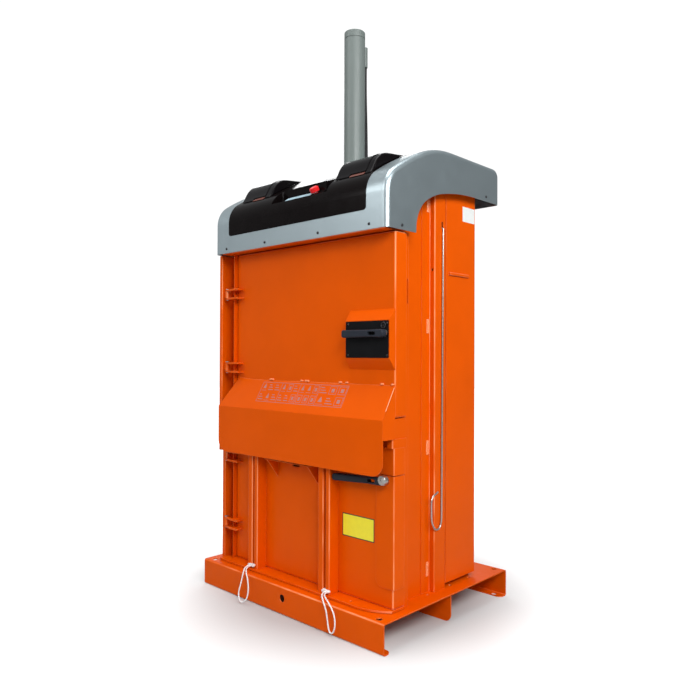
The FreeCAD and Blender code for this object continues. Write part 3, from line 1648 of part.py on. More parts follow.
def make_valve_block():
    """The valve block that the hose ends on."""
    end = hose_route()[-1]
    half = valve_size / 2
    return box(end.x - half, end.x + half, end.y - half / 2, end.y + half * 3 / 2, skin_top + shelf_sheet,
               end.z)


def make_electric_box():
    """The closed box of the electrics."""
    z0 = skin_top + shelf_sheet
    x1 = motor_x - motor_length / 2 - box_motor_gap
    y0, y1 = power_y - tank_depth / 2, power_y + tank_depth / 2
    return box(-shelf_half + box_gap, x1, y0, y1, z0, z0 + tank_height)


# ================================================================ rod tool and pull loops
def rod_tool_route():
    """The bent rod that hangs beside the post, from its hook down to the turned-up end."""
    x = post_face_x + rod_tool_radius + rod_tool_gap
    level = tool_slot_z - tool_slot_height / 2 + rod_tool_radius + rod_tool_lift
    hook = [Vector(post_face_x - rod_tool_hook, tool_slot_y, level), Vector(x, tool_slot_y, level)]
    return hook + [Vector(x, y, z) for y, z in rod_tool_bends]


def make_rod_tool():
    """The rod tool."""
    return tube_along(rod_tool_route(), rod_tool_radius)


def make_pull_loop(points):
    """A loop of flat strap hanging from its knot."""
    return tube_along([Vector(*point) for point in points], loop_diameter / 2)


def make_knots():
    """The cross bars that hold the strap ends in the slots."""
    knots = []
    for x, shift in zip(channel_xs, knot_shifts):
        middle = x + shift
        bar = box(middle - knot_length / 2, middle + knot_length / 2, knot_y - knot_radius, rib_front,
                  knot_z - knot_radius, knot_z + knot_radius)
        bar = fillet_where(bar, knot_stem, lambda edge: runs_along(edge, Y_AXIS))
        stem = box(x - knot_stem, x + knot_stem, rib_front, door_front, knot_z - knot_stem,
                   knot_z + knot_stem)
        knots.append(fuse_all([bar, stem]))
    return Part.makeCompound(knots)


# ================================================================ all pieces
def build():
    """Make every piece and return it under its name."""
    wall_right = make_chamber_wall()
    keepers = [make_keeper(upper_pivot_x, upper_pivot_z), make_keeper(lower_pivot_x, lower_pivot_z)]
    post_right = make_rear_post()
    panel_right = make_rear_panel()
    parts = {
        "base_frame": make_base_frame(),
        "base_middle_foot": make_middle_foot(),
        "chamber_floor": make_chamber_floor(),
        "chamber_back_wall": make_chamber_back(),
        "chamber_wall_left": mirrored(wall_right),
        "chamber_wall_right": fuse_all([wall_right] + keepers),
        "side_skin_left": mirrored(make_side_skin()),
        "side_skin_right": make_side_skin(),
        "rear_post_left": mirrored(post_right),
        "rear_post_right": cut_tool_slot(post_right),
        "rear_panel_left": mirrored(panel_right),
        "rear_panel_right": add_louver(panel_right),
        "hinge_post_lower": make_lower_hinge_post(),
        "hinge_post_upper": make_upper_hinge_post(),
        "hinge_lugs": make_hinge_lugs(),
        "hinge_pins": make_hinge_pins(),
        "middle_rail": make_middle_rail(),
        "latch_clip": make_latch_clip(),
        "front_header": make_header(),
        "top_crosshead": make_crosshead(),
        "cylinder_gland": make_gland(),
        "cylinder_tube": make_cylinder_tube(),
        "cylinder_cap": make_cylinder_cap(),
        "hydraulic_hose": make_hose(),
        "hood": make_hood(),
        "console": make_console(),
        "power_pack_shelf": make_shelf(),
        "oil_tank": make_tank(),
        "pump_motor": make_motor(),
        "valve_block": make_valve_block(),
        "electric_box": make_electric_box(),
        "rod_tool": make_rod_tool(),
        "strap_spindles": make_spindles(),
        "press_plate": make_platen(),
        "piston_rod": make_piston_rod(),
        "piston": make_piston(),
        "upper_door_panel": make_upper_door(),
        "upper_door_liner": make_liner(upper_door_right, upper_door_bottom, upper_door_top,
                                       upper_pivot_x, upper_pivot_z),
        "loading_flap": make_flap(),
        "upper_handle_housing": make_handle_housing(),
        "upper_handle_plate": make_handle_plate(),
        "upper_hinge_arms": make_hinge_arms(upper_hinge_zs),
        "upper_lever": make_upper_lever(),
        "upper_latch_spindle": make_upper_spindle(),
        "lower_door_panel": make_lower_door(),
        "lower_door_liner": make_lower_liner(),
        "strap_channels": make_strap_channels(),
        "lower_door_foot": make_door_flange(),
        "latch_side_strip": make_latch_strip(),
        "lower_hinge_arms": make_hinge_arms(lower_hinge_zs),
        "pull_loop_left": make_pull_loop(left_loop),
        "pull_loop_right": make_pull_loop(right_loop),
        "pull_knots": make_knots(),
        "lower_lever": make_lower_lever(),
        "lower_latch_spindle": make_lower_spindle(),
        "strap_lid_left": make_strap_lid(lid_starts[0]),
        "strap_lid_right": make_strap_lid(lid_starts[1]),
        "strap_roll_left": make_strap_roll(lid_starts[0]),
        "strap_roll_right": make_strap_roll(lid_starts[1]),
        "emergency_stop": make_emergency_stop(),
    }
    return parts


def main():
    """Write one file for each piece."""
    os.makedirs("parts", exist_ok=True)
    for name, shape in build().items():
        if not shape.isValid():
            print("not valid:", name)
        if not shape.Solids:
            print("no solid:", name)
        shape.exportStep("parts/" + name + ".step")
        print("%-24s %2d solids, volume %.0f" % (name, len(shape.Solids), shape.Volume))


main()
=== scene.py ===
"""Looks of a vertical recycling baler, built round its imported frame.

Metres, +Z up, +Y to the back; the doors face -Y.
Every sub-assembly is a class that builds its own pieces and dresses the nodes of the frame that belong to it.
"""
from __future__ import annotations

import itertools
import logging
import math
import random
from dataclasses import dataclass
from enum import Enum
from typing import Iterable, Sequence

import bmesh
import bpy
from mathutils import Matrix, Vector

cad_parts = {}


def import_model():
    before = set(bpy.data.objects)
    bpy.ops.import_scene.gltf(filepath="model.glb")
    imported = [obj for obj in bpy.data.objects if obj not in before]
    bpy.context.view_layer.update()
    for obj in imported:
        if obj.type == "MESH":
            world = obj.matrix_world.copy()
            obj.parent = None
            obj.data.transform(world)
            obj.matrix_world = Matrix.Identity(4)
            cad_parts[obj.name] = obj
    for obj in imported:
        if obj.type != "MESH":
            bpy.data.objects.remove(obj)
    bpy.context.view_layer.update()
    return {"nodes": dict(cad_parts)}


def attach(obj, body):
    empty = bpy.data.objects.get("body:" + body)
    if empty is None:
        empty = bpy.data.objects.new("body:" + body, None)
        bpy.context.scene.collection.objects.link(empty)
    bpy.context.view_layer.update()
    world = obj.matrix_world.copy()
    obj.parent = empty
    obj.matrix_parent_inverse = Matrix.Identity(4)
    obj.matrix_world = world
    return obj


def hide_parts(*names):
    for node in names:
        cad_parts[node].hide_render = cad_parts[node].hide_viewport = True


LOG = logging.getLogger("baler")

Point = tuple[float, float, float]
Flat = tuple[float, float]
Box = tuple[float, float, float, float]
Colour = tuple[float, float, float]
Outline = Iterable[Flat]
Level = tuple[Sequence[float], float]
Socket = bpy.types.NodeSocket
Mesh = bpy.types.Mesh
Work = bmesh.types.BMesh
Links = dict[str | int, object]

WHITE: Colour = (1.0, 1.0, 1.0)
FORWARD: Point = (0.0, -1.0, 0.0)
SHARP_ANGLE = math.radians(32.0)
SAME_PLACE = 1e-6
CORNER_STEPS = 5
BEVEL_SAMPLES = 4
MIX_FACTOR, MIX_UNDER, MIX_OVER, MIX_RESULT = 0, 6, 7, 2
RANDOM_LOW, RANDOM_HIGH, RANDOM_RESULT = 2, 3, 1


class Body(Enum):
    """The bodies of the frame that pieces ride on."""

    FRAME = "frame"
    UPPER_DOOR = "upper_door"
    LOWER_DOOR = "lower_door"
    LOWER_HANDLE = "lower_handle"
    STOP = "stop_button"


# ---- node trees
class Wiring:
    """A node tree that is wired in code."""

    def __init__(self, tree: bpy.types.NodeTree) -> None:
        """Take a tree."""
        self.tree = tree

    def fill(self, target: Socket, value: object) -> None:
        """Link an input to a socket, or give it a value of its own.

        Args:
            target: the input.
            value: the socket or the value.
        """
        if isinstance(value, Socket):
            self.tree.links.new(value, target)
        else:
            target.default_value = value

    def add(self, kind: str, links: Links | None = None, **settings: object) -> bpy.types.Node:
        """Add a node.

        Args:
            kind: the node's type.
            links: inputs with a socket or a value each.
            settings: properties to set on it.

        Returns:
            The node.
        """
        node = self.tree.nodes.new(kind)
        for key, value in settings.items():
            setattr(node, key, value)
        for key, value in (links or {}).items():
            self.fill(node.inputs[key], value)
        return node

    def spread(self, value: Socket, low: float, high: float, start: float = 0.3, end: float = 0.7) -> Socket:
        """A value between start and end mapped to one between low and high."""
        ranges = {"Value": value, "From Min": start, "From Max": end, "To Min": low, "To Max": high}
        return self.add("ShaderNodeMapRange", ranges).outputs["Result"]


def solid(colour: Colour) -> tuple[float, float, float, float]:
    """A colour that nothing shines through."""
    return (*colour, 1.0)


def shaded(colour: Colour, factor: float) -> Colour:
    """A colour made lighter or darker by a factor."""
    return (colour[0] * factor, colour[1] * factor, colour[2] * factor)


class ShaderGraph(Wiring):
    """A material's node tree with one principled shader."""

    def __init__(self, name: str) -> None:
        """Start a material.

        Args:
            name: the material's name.
        """
        self.material = bpy.data.materials.new(name)
        self.material.use_nodes = True
        super().__init__(self.material.node_tree)
        self.tree.nodes.clear()
        self.shader = self.add("ShaderNodeBsdfPrincipled")
        self.add("ShaderNodeOutputMaterial", {"Surface": self.shader.outputs["BSDF"]})
        self.place = self.add("ShaderNodeTexCoord").outputs["Object"]

    def stretched(self, scale: Point) -> Socket:
        """Object coordinates scaled along each axis."""
        return self.add("ShaderNodeMapping", {"Vector": self.place, "Scale": scale}).outputs["Vector"]

    def noise(self, scale: float, detail: float = 2.0, place: Socket | None = None) -> Socket:
        """Noise of so many features to the metre and octaves, over the object unless told otherwise."""
        links = {"Scale": scale, "Detail": detail, "Vector": place or self.place}
        return self.add("ShaderNodeTexNoise", links).outputs["Fac"]

    def cloud(self, scale: float, detail: float = 2.0) -> Socket:
        """Noise stretched from 0 to 1."""
        return self.spread(self.noise(scale, detail), 0.0, 1.0)

    def around(self, value: Socket, middle: float, swing: Flat) -> Socket:
        """A value mapped to the surroundings of a number."""
        return self.spread(value, middle + swing[0], middle + swing[1])

    def blend(self, factor: Socket, under: Socket | Colour, over: Colour) -> Socket:
        """A colour laid over another by a factor."""
        links = {MIX_FACTOR: factor, MIX_UNDER: under if isinstance(under, Socket) else solid(under),
                 MIX_OVER: solid(over)}
        return self.add("ShaderNodeMix", links, data_type="RGBA").outputs[MIX_RESULT]

    def shades(self, factor: Socket, colour: Colour, dark: float, light: float = 1.0) -> Socket:
        """A colour that a factor varies between two shades of it."""
        return self.blend(factor, shaded(colour, dark), shaded(colour, light))

    def maths(self, operation: str, first: Socket, second: Socket) -> Socket:
        """Two values put through an operation."""
        return self.add("ShaderNodeMath", {0: first, 1: second}, operation=operation).outputs[0]

    def height(self) -> Socket:
        """The place's height above the floor."""
        return self.add("ShaderNodeSeparateXYZ", {0: self.place}).outputs["Z"]

    def bevelled(self, radius: float) -> Socket:
        """The surface's normal with its edges rounded by a radius."""
        return self.add("ShaderNodeBevel", {"Radius": radius}, samples=BEVEL_SAMPLES).outputs["Normal"]

    def folds(self, radius: float, start: float, end: float) -> Socket:
        """How strongly the surface turns between two of the object's axes, as it does on folds and edges.

        Args:
            radius: how far an edge reaches.
            start: the share of the normal along its main axis where a fold starts.
            end: that share in the middle of a fold.

        Returns:
            The factor socket, 1 in the middle of a fold.
        """
        local = self.add("ShaderNodeVectorTransform", {0: self.bevelled(radius)}, vector_type="NORMAL",
                         convert_from="WORLD", convert_to="OBJECT")
        size = self.add("ShaderNodeVectorMath", {0: local.outputs[0]}, operation="ABSOLUTE")
        parts = self.add("ShaderNodeSeparateXYZ", {0: size.outputs[0]}).outputs
        across = self.maths("MAXIMUM", parts["X"], parts["Y"])
        return self.spread(self.maths("MAXIMUM", across, parts["Z"]), 1.0, 0.0, end, start)

    def shade(self, links: Links) -> None:
        """Set or link inputs of the shader."""
        for key, value in links.items():
            self.fill(self.shader.inputs[key], value)

    def relief(self, layers: Sequence[tuple[Socket | Flat, float]], edge: float = 0.0) -> None:
        """Bump layers on top of rounded edges.

        Args:
            layers: noises or height sockets, each with its depth in metres.
            edge: the radius that edges are softened by, or 0.
        """
        normal = {"Normal": self.bevelled(edge)} if edge else {}
        for layer, depth in layers:
            height = layer if isinstance(layer, Socket) else self.noise(*layer)
            bump = self.add("ShaderNodeBump", {"Distance": depth, "Height": height, **normal})
            normal = {"Normal": bump.outputs["Normal"]}
        self.shade(normal)


# ---- finishes
@dataclass(frozen=True)
class Finish:
    """A finish. Each noise in it is given by its features to the metre and its octaves."""

    name: str
    colour: Colour

    def wire(self, graph: ShaderGraph) -> None:
        """Give the shader the plain colour."""
        graph.shade({"Base Color": solid(self.colour)})

    def make(self) -> bpy.types.Material:
        """Make the finish's material.

        Returns:
            The material.
        """
        graph = ShaderGraph(self.name)
        self.wire(graph)
        return graph.material


@dataclass(frozen=True)
class PowderCoat(Finish):
    """A baked powder coat with orange peel, slight mottling, painted highlights on folds in patches, and
    scuffs near the floor.
    """

    rough: float = 0.36
    coat: float = 0.05
    shine: float = 0.09
    tint: Colour = WHITE
    coat_rough: float = 0.16
    peel: Flat = (420.0, 1.0)
    peel_depth: float = 0.00010
    wave: Flat = (26.0, 1.0)
    wave_depth: float = 0.0003
    edge: float = 0.0011
    fold: float = 0.0020
    fold_range: Flat = (0.96, 0.80)
    fold_highlight_colour: Colour = WHITE
    fold_highlight_share: float = 0.0
    highlight_patches: Flat = (6.0, 2.0)
    highlight_patch_least: float = 0.2
    highlight_patch_range: Flat = (0.42, 0.60)
    mottle: Flat = (5.5, 3.0)
    mottle_shades: Flat = (0.955, 1.03)
    smear: Flat = (31.0, 6.0)
    smear_rough: Flat = (-0.03, 0.05)
    scuff: Flat = (48.0, 5.0)
    scuff_height: float = 0.16
    scuff_rough: float = 0.16

    def wire(self, graph: ShaderGraph) -> None:
        """Wire the coat.

        Args:
            graph: the material's nodes.
        """
        paint = graph.shades(graph.cloud(*self.mottle), self.colour, *self.mottle_shades)
        # Painted highlight: the base colour is lightened toward a pale orange on folds and edges, in noisy
        # patches, as lit bends would look.
        if self.fold_highlight_share:
            least = self.fold_highlight_share * self.highlight_patch_least
            highlight_patches = graph.spread(graph.noise(*self.highlight_patches), least, self.fold_highlight_share, *self.highlight_patch_range)
            folds = graph.folds(self.fold, *self.fold_range)
            paint = graph.blend(graph.maths("MULTIPLY", folds, highlight_patches), paint, self.fold_highlight_colour)
        near_floor = graph.spread(graph.height(), self.scuff_rough, 0.0, 0.0, self.scuff_height)
        scuffs = graph.maths("MULTIPLY", near_floor, graph.cloud(*self.scuff))
        smear = graph.around(graph.noise(*self.smear), self.rough, self.smear_rough)
        graph.shade({"Base Color": paint, "Roughness": graph.maths("ADD", smear, scuffs),
                     "Specular IOR Level": self.shine, "Specular Tint": solid(self.tint),
                     "Coat Weight": self.coat, "Coat Roughness": self.coat_rough})
        graph.relief(((self.wave, self.wave_depth), (self.peel, self.peel_depth)), self.edge)


@dataclass(frozen=True)
class MetallicCoat(Finish):
    """A silver coat with fine flake."""

    rough: float = 0.34
    uneven: Flat = (-0.03, 0.04)
    metal: float = 0.85
    coat: float = 0.2
    coat_rough: float = 0.15
    flake: Flat = (2600.0, 1.0)
    flake_range: Flat = (0.35, 0.65)
    flake_shades: Flat = (0.94, 1.05)
    cloud: Flat = (22.0, 4.0)
    wave: Flat = (18.0, 1.0)
    wave_depth: float = 0.0003
    peel: Flat = (520.0, 1.0)
    peel_depth: float = 0.00005
    edge: float = 0.0012

    def wire(self, graph: ShaderGraph) -> None:
        """Wire the coat.

        Args:
            graph: the material's nodes.
        """
        flake = graph.spread(graph.noise(*self.flake), 0.0, 1.0, *self.flake_range)
        graph.shade({"Base Color": graph.shades(flake, self.colour, *self.flake_shades),
                     "Roughness": graph.around(graph.noise(*self.cloud), self.rough, self.uneven),
                     "Metallic": self.metal,
                     "Coat Weight": self.coat, "Coat Roughness": self.coat_rough})
        graph.relief(((self.wave, self.wave_depth), (self.peel, self.peel_depth)), self.edge)


@dataclass(frozen=True)
class MouldedPlastic(Finish):
    """Moulded plastic with a fine grain and dusty streaks."""

    rough: float = 0.3
    grain_scale: float = 900.0
    grain_depth: float = 0.00008
    dust: float = 0.003
    shine: float = 0.12
    grain_detail: float = 2.0
    streak: Flat = (14.0, 6.0)
    streak_stretch: Point = (1.0, 3.0, 1.0)
    streak_range: Flat = (0.5, 0.8)
    cloud: Flat = (36.0, 5.0)
    uneven: Flat = (-0.05, 0.1)
    edge: float = 0.0008

    def wire(self, graph: ShaderGraph) -> None:
        """Wire the plastic.

        Args:
            graph: the material's nodes.
        """
        streaks = graph.noise(*self.streak, graph.stretched(self.streak_stretch))
        pale = tuple(channel + self.dust for channel in self.colour)
        dusty = graph.spread(streaks, 0.0, 1.0, *self.streak_range)
        graph.shade({"Base Color": graph.blend(dusty, self.colour, pale), "Specular IOR Level": self.shine,
                     "Roughness": graph.around(graph.noise(*self.cloud), self.rough, self.uneven)})
        graph.relief((((self.grain_scale, self.grain_detail), self.grain_depth),), self.edge)


@dataclass(frozen=True)
class PlainMetal(Finish):
    """Bare or plated metal with directional brushing."""

    rough: float = 0.3
    brush: Point = (40.0, 40.0, 900.0)
    streak: Flat = (1.0, 3.0)
    uneven: Flat = (-0.06, 0.1)
    dark: float = 0.85
    depth: float = 0.00004
    edge: float = 0.0006

    def wire(self, graph: ShaderGraph) -> None:
        """Wire the metal.

        Args:
            graph: the material's nodes.
        """
        streak = graph.noise(*self.streak, graph.stretched(self.brush))
        graph.shade({"Base Color": graph.shades(graph.spread(streak, 0.0, 1.0), self.colour, self.dark),
                     "Metallic": 1.0, "Roughness": graph.around(streak, self.rough, self.uneven)})
        graph.relief(((streak, self.depth),), self.edge)


@dataclass(frozen=True)
class WovenStrap(Finish):
    """White woven polyester."""

    rough: float = 0.75
    sheen: float = 0.2
    thread: float = 1400.0
    distortion: float = 1.5
    dark: float = 0.86
    depth: float = 0.0002

    def wire(self, graph: ShaderGraph) -> None:
        """Wire the strap.

        Args:
            graph: the material's nodes.
        """
        links = {"Vector": graph.place, "Scale": self.thread / math.tau, "Distortion": self.distortion}
        node = graph.add("ShaderNodeTexWave", links, wave_type="BANDS", bands_direction="DIAGONAL")
        wave = node.outputs["Fac"]
        graph.shade({"Base Color": graph.shades(wave, self.colour, self.dark), "Roughness": self.rough,
                     "Sheen Weight": self.sheen})
        graph.relief(((wave, self.depth),))


@dataclass(frozen=True)
class WoundStrap(Finish):
    """A strap wound on a roll, seen as rings on its sides and fine lines on its rim."""

    rough: float = 0.55
    winding: Point = (700.0, 60.0, 60.0)
    rings: Flat = (1.0, 2.0)
    ring_shades: Flat = (0.72, 1.12)
    depth: float = 0.0003

    def wire(self, graph: ShaderGraph) -> None:
        """Wire the strap.

        Args:
            graph: the material's nodes.
        """
        rings = graph.noise(*self.rings, graph.stretched(self.winding))
        paint = graph.shades(graph.spread(rings, 0.0, 1.0), self.colour, *self.ring_shades)
        graph.shade({"Base Color": paint, "Roughness": self.rough})
        graph.relief(((rings, self.depth),))


@dataclass(frozen=True)
class Print(Finish):
    """A printed field or label, matt, with slight unevenness."""

    rough: float = 0.5
    cloud: Flat = (60.0, 3.0)
    patch: Flat = (180.0, 3.0)
    uneven: Flat = (-0.05, 0.05)
    dark: float = 0.95

    def wire(self, graph: ShaderGraph) -> None:
        """Wire the print into the material's nodes."""
        graph.shade({"Base Color": graph.shades(graph.cloud(*self.cloud), self.colour, self.dark),
                     "Roughness": graph.around(graph.noise(*self.patch), self.rough, self.uneven)})


ORANGE: Colour = (0.735, 0.0905, 0.0)
ORANGE_SHINE: Colour = (1.0, 0.5, 0.12)
# The pale orange that folds and edges are painted with as a highlight.
PAINTED_FOLD_HIGHLIGHT: Colour = (1.0, 0.44, 0.22)


class Coat(Enum):
    """The finishes of the machine."""

    # BODY and FLAP lighten their folds and edges as a painted highlight; SLOPED has none.
    BODY = PowderCoat("orange_coat", ORANGE, tint=ORANGE_SHINE, fold_highlight_colour=PAINTED_FOLD_HIGHLIGHT, fold_highlight_share=0.62)
    FLAP = PowderCoat("orange_flap_coat", ORANGE, tint=ORANGE_SHINE, fold_highlight_colour=PAINTED_FOLD_HIGHLIGHT, fold_highlight_share=0.62,
                      fold_range=(0.85, 0.76))
    SLOPED = PowderCoat("orange_plain_coat", ORANGE, tint=ORANGE_SHINE)
    # A pale strip laid on the flap's right slope edge as a painted highlight where the cut edge catches
    # light.
    EDGE = Print("painted_edge_highlight", (1.0, 0.50, 0.28), 0.3)
    # Welds are a lighter orange than the body, a painted highlight on the beads; their high gloss is real.
    WELD = PowderCoat("weld_coat_painted_glint", (0.92, 0.25, 0.08), 0.16, 0.9, 0.5)
    HOOD = MetallicCoat("silver_coat", (0.440, 0.520, 0.550))
    CONSOLE = MouldedPlastic("console_plastic", (0.0045, 0.003, 0.003), 0.14, 260.0, 0.00006, 0.002, 0.06)
    LID = MouldedPlastic("lid_plastic", (0.0035, 0.0025, 0.003), 0.14, 240.0, 0.00006, 0.0015, 0.12)
    GRIP = MouldedPlastic("grip_plastic", (0.022, 0.026, 0.036), 0.42, 1200.0, 0.00006)
    PLATE = MouldedPlastic("plate_plastic", (0.006, 0.006, 0.007), 0.45, 1500.0, 0.00008, 0.003, 0.06)
    STOP = MouldedPlastic("stop_plastic", (0.72, 0.018, 0.022), 0.28, 900.0, 0.00002, 0.0)
    CYLINDER = PowderCoat("grey_paint", (0.155, 0.182, 0.172), 0.45, 0.1, 0.4, peel=(260.0, 1.0),
                          peel_depth=0.00006)
    MACHINE = PowderCoat("machine_paint", (0.10, 0.115, 0.13), 0.4, 0.1)
    ZINC = PlainMetal("zinc_plate", (0.62, 0.61, 0.58), 0.3)
    CHROME = PlainMetal("hard_chrome", (0.78, 0.79, 0.80), 0.12, (30.0, 30.0, 300.0))
    ALUMINIUM = PlainMetal("machined_aluminium", (0.72, 0.73, 0.74), 0.35)
    SCREW = PlainMetal("screw_steel", (0.07, 0.07, 0.075), 0.32)
    RUBBER = MouldedPlastic("hose_rubber", (0.018, 0.018, 0.019), 0.5, 1400.0, 0.0001)
    STRAP = WovenStrap("white_strap", (0.86, 0.87, 0.88))
    # Darker than the strap's own reddish brown, as painted shade of the lids' mouths that the strap ends sit
    # in.
    ROLL = WoundStrap("wound_strap_painted_shade", (0.14, 0.035, 0.022))
    YELLOW = Print("yellow_field", (0.90, 0.80, 0.03), 0.4)
    # Black ink for printed borders, also painted as the shade inside holes and slots.
    INK_AND_HOLE_SHADE = Print("dark_ink_and_painted_hole_shade", (0.03, 0.03, 0.03))
    PAPER = Print("white_field", (0.82, 0.84, 0.82), 0.45)
    FAINT_INK = Print("faint_ink", (0.46, 0.19, 0.17), 0.42)
    SILVER_TRIM = PlainMetal("silver_trim", (0.62, 0.66, 0.70), 0.22)
    # A pale blue painted reflection on the control unit's ledge.
    PAINTED_LEDGE_REFLECTION = Print("painted_ledge_reflection_blue", (0.42, 0.58, 0.66), 0.3)

    def material(self) -> bpy.types.Material:
        """The finish's material, made once."""
        return bpy.data.materials.get(self.value.name) or self.value.make()


# ---- meshes
def linked(name: str, data: bpy.types.ID) -> bpy.types.Object:
    """New data linked to the scene.

    Args:
        name: the object's name.
        data: its mesh, curve, light or camera.

    Returns:
        The object.
    """
    made = bpy.data.objects.new(name, data)
    bpy.context.scene.collection.objects.link(made)
    return made


def smooth_by_angle(mesh: Mesh) -> None:
    """Shade a mesh smooth except across its sharp edges."""
    mesh.polygons.foreach_set("use_smooth", [True] * len(mesh.polygons))
    mesh.set_sharp_from_angle(angle=SHARP_ANGLE)


def finish_mesh(work: Work, name: str) -> Mesh:
    """Close a bmesh into a mesh with outward normals.

    Args:
        work: the bmesh, freed here.
        name: the mesh's name.

    Returns:
        The mesh.
    """
    bmesh.ops.remove_doubles(work, verts=work.verts, dist=SAME_PLACE)
    bmesh.ops.recalc_face_normals(work, faces=work.faces)
    mesh = bpy.data.meshes.new(name)
    work.to_mesh(mesh)
    work.free()
    smooth_by_angle(mesh)
    return mesh


def turns(steps: int) -> list[float]:
    """Even angles round a circle."""
    return [math.tau * i / steps for i in range(steps)]


def ring(reaches: Sequence[float], height: float, work: Work) -> list[bmesh.types.BMVert]:
    """Points round the Z axis at a height, one for each reach."""
    return [work.verts.new((reach * math.cos(turn), reach * math.sin(turn), height))
            for reach, turn in zip(reaches, turns(len(reaches)))]


def loft(rings: Sequence[Sequence[bmesh.types.BMVert]], work: Work, capped: bool = False) -> None:
    """Join closed rings of points, each to the next.

    Args:
        rings: the rings, with as many points each.
        work: the bmesh that they are in.
        capped: whether the first and the last are closed.
    """
    for lower, upper in zip(rings, rings[1:]):
        for i in range(len(lower)):
            work.faces.new((lower[i - 1], lower[i], upper[i], upper[i - 1]))
    for end in (rings[0], rings[-1]) if capped else ():
        work.faces.new(end)


def even(outline: Outline, steps: int) -> list[Level]:
    """Radius and height pairs as levels of a turned form."""
    return [([radius] * steps, height) for radius, height in outline]


def stack(levels: Iterable[Level], work: Work, capped: bool = False) -> None:
    """Join levels round the Z axis, each with its reaches all round and its height."""
    loft([ring(reaches, height, work) for reaches, height in levels], work, capped)


def slab(corners: Iterable[Vector], thickness: Vector, work: Work) -> None:
    """A flat outline given a thickness.

    Args:
        corners: the outline's points, in order.
        thickness: the vector to the other face.
        work: the bmesh to add to.
    """
    near = [work.verts.new(point) for point in corners]
    far = [work.verts.new(vert.co + thickness) for vert in near]
    loft([near, far], work, capped=True)


def rectangle(x0: float, x1: float, z0: float, z1: float) -> list[Flat]:
    """The corners of a rectangle."""
    return [(x0, z0), (x1, z0), (x1, z1), (x0, z1)]


def rounded_outline(box: Box, radius: float) -> list[Flat]:
    """A rectangle with rounded corners.

    Args:
        box: its left, right, bottom and top.
        radius: the corners' radius.

    Returns:
        The outline's points.
    """
    x0, x1, z0, z1 = box
    points = []
    for quarter, (x, z) in enumerate(((x1 - radius, z1 - radius), (x0 + radius, z1 - radius),
                                      (x0 + radius, z0 + radius), (x1 - radius, z0 + radius))):
        for i in range(CORNER_STEPS + 1):
            angle = math.tau * (quarter + i / CORNER_STEPS) / 4
            points.append((x + radius * math.cos(angle), z + radius * math.sin(angle)))
    return points


@dataclass(frozen=True)
class Plane:
    """A plane that shapes are laid on: where it starts, its way up and its way across."""

    start: Point
    up: Point = (0.0, 0.0, 1.0)
    across: Point = (1.0, 0.0, 0.0)

    def outward(self) -> Vector:
        """The way off the plane, on the side that is seen."""
        return Vector(self.across).cross(Vector(self.up)).normalized()

    def lay(self, outline: Outline, lift: float = 0.0) -> list[Vector]:
        """Points laid on the plane or over it, given across it and up from its start."""
        start, across, up = Vector(self.start) + self.outward() * lift, Vector(self.across), Vector(self.up)
        return [start + across * x + up.normalized() * rise for x, rise in outline]


@dataclass(frozen=True)
class Piece:
    """A piece of the scene: its name, finish, body and material slot name."""

    name: str
    coat: Coat
    body: Body
    slot: str

    def link(self, mesh: Mesh) -> None:
        """Link a mesh, in its place, as this piece.

        Args:
            mesh: the mesh.
        """
        piece = linked(self.name, mesh)
        mesh.materials.clear()
        mesh.materials.append(self.coat.material())
        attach(piece, self.body.value)
        LOG.info("piece %s: %d faces on %s", self.name, len(mesh.polygons), self.body.value)

    def close(self, work: Work) -> None:
        """Link a bmesh, freed here, as this piece."""
        self.link(finish_mesh(work, self.name))

    def plate(self, plane: Plane, box: Box, corner: float, thickness: float, lift: float = 0.0) -> None:
        """Make the piece as a thin plate on a plane.

        Args:
            plane: the plane.
            box: the plate's sides on it.
            corner: the radius of its corners, or 0.
            thickness: its thickness.
            lift: how far its back is off the plane.
        """
        outline = rounded_outline(box, corner) if corner else rectangle(*box)
        work = bmesh.new()
        slab(plane.lay(outline, lift), plane.outward() * thickness, work)
        self.close(work)

    def turned(self, levels: Iterable[Level], seat: Sequence[float], axis: Sequence[float]) -> None:
        """Make the piece as a turned form that stands on a seat.

        Args:
            levels: its levels.
            seat: where its axis starts.
            axis: the axis's direction.
        """
        work = bmesh.new()
        stack(levels, work)
        turn = Vector(axis).to_track_quat("Z", "X").to_matrix().to_4x4()
        bmesh.ops.transform(work, matrix=Matrix.Translation(seat) @ turn, verts=work.verts)
        self.close(work)


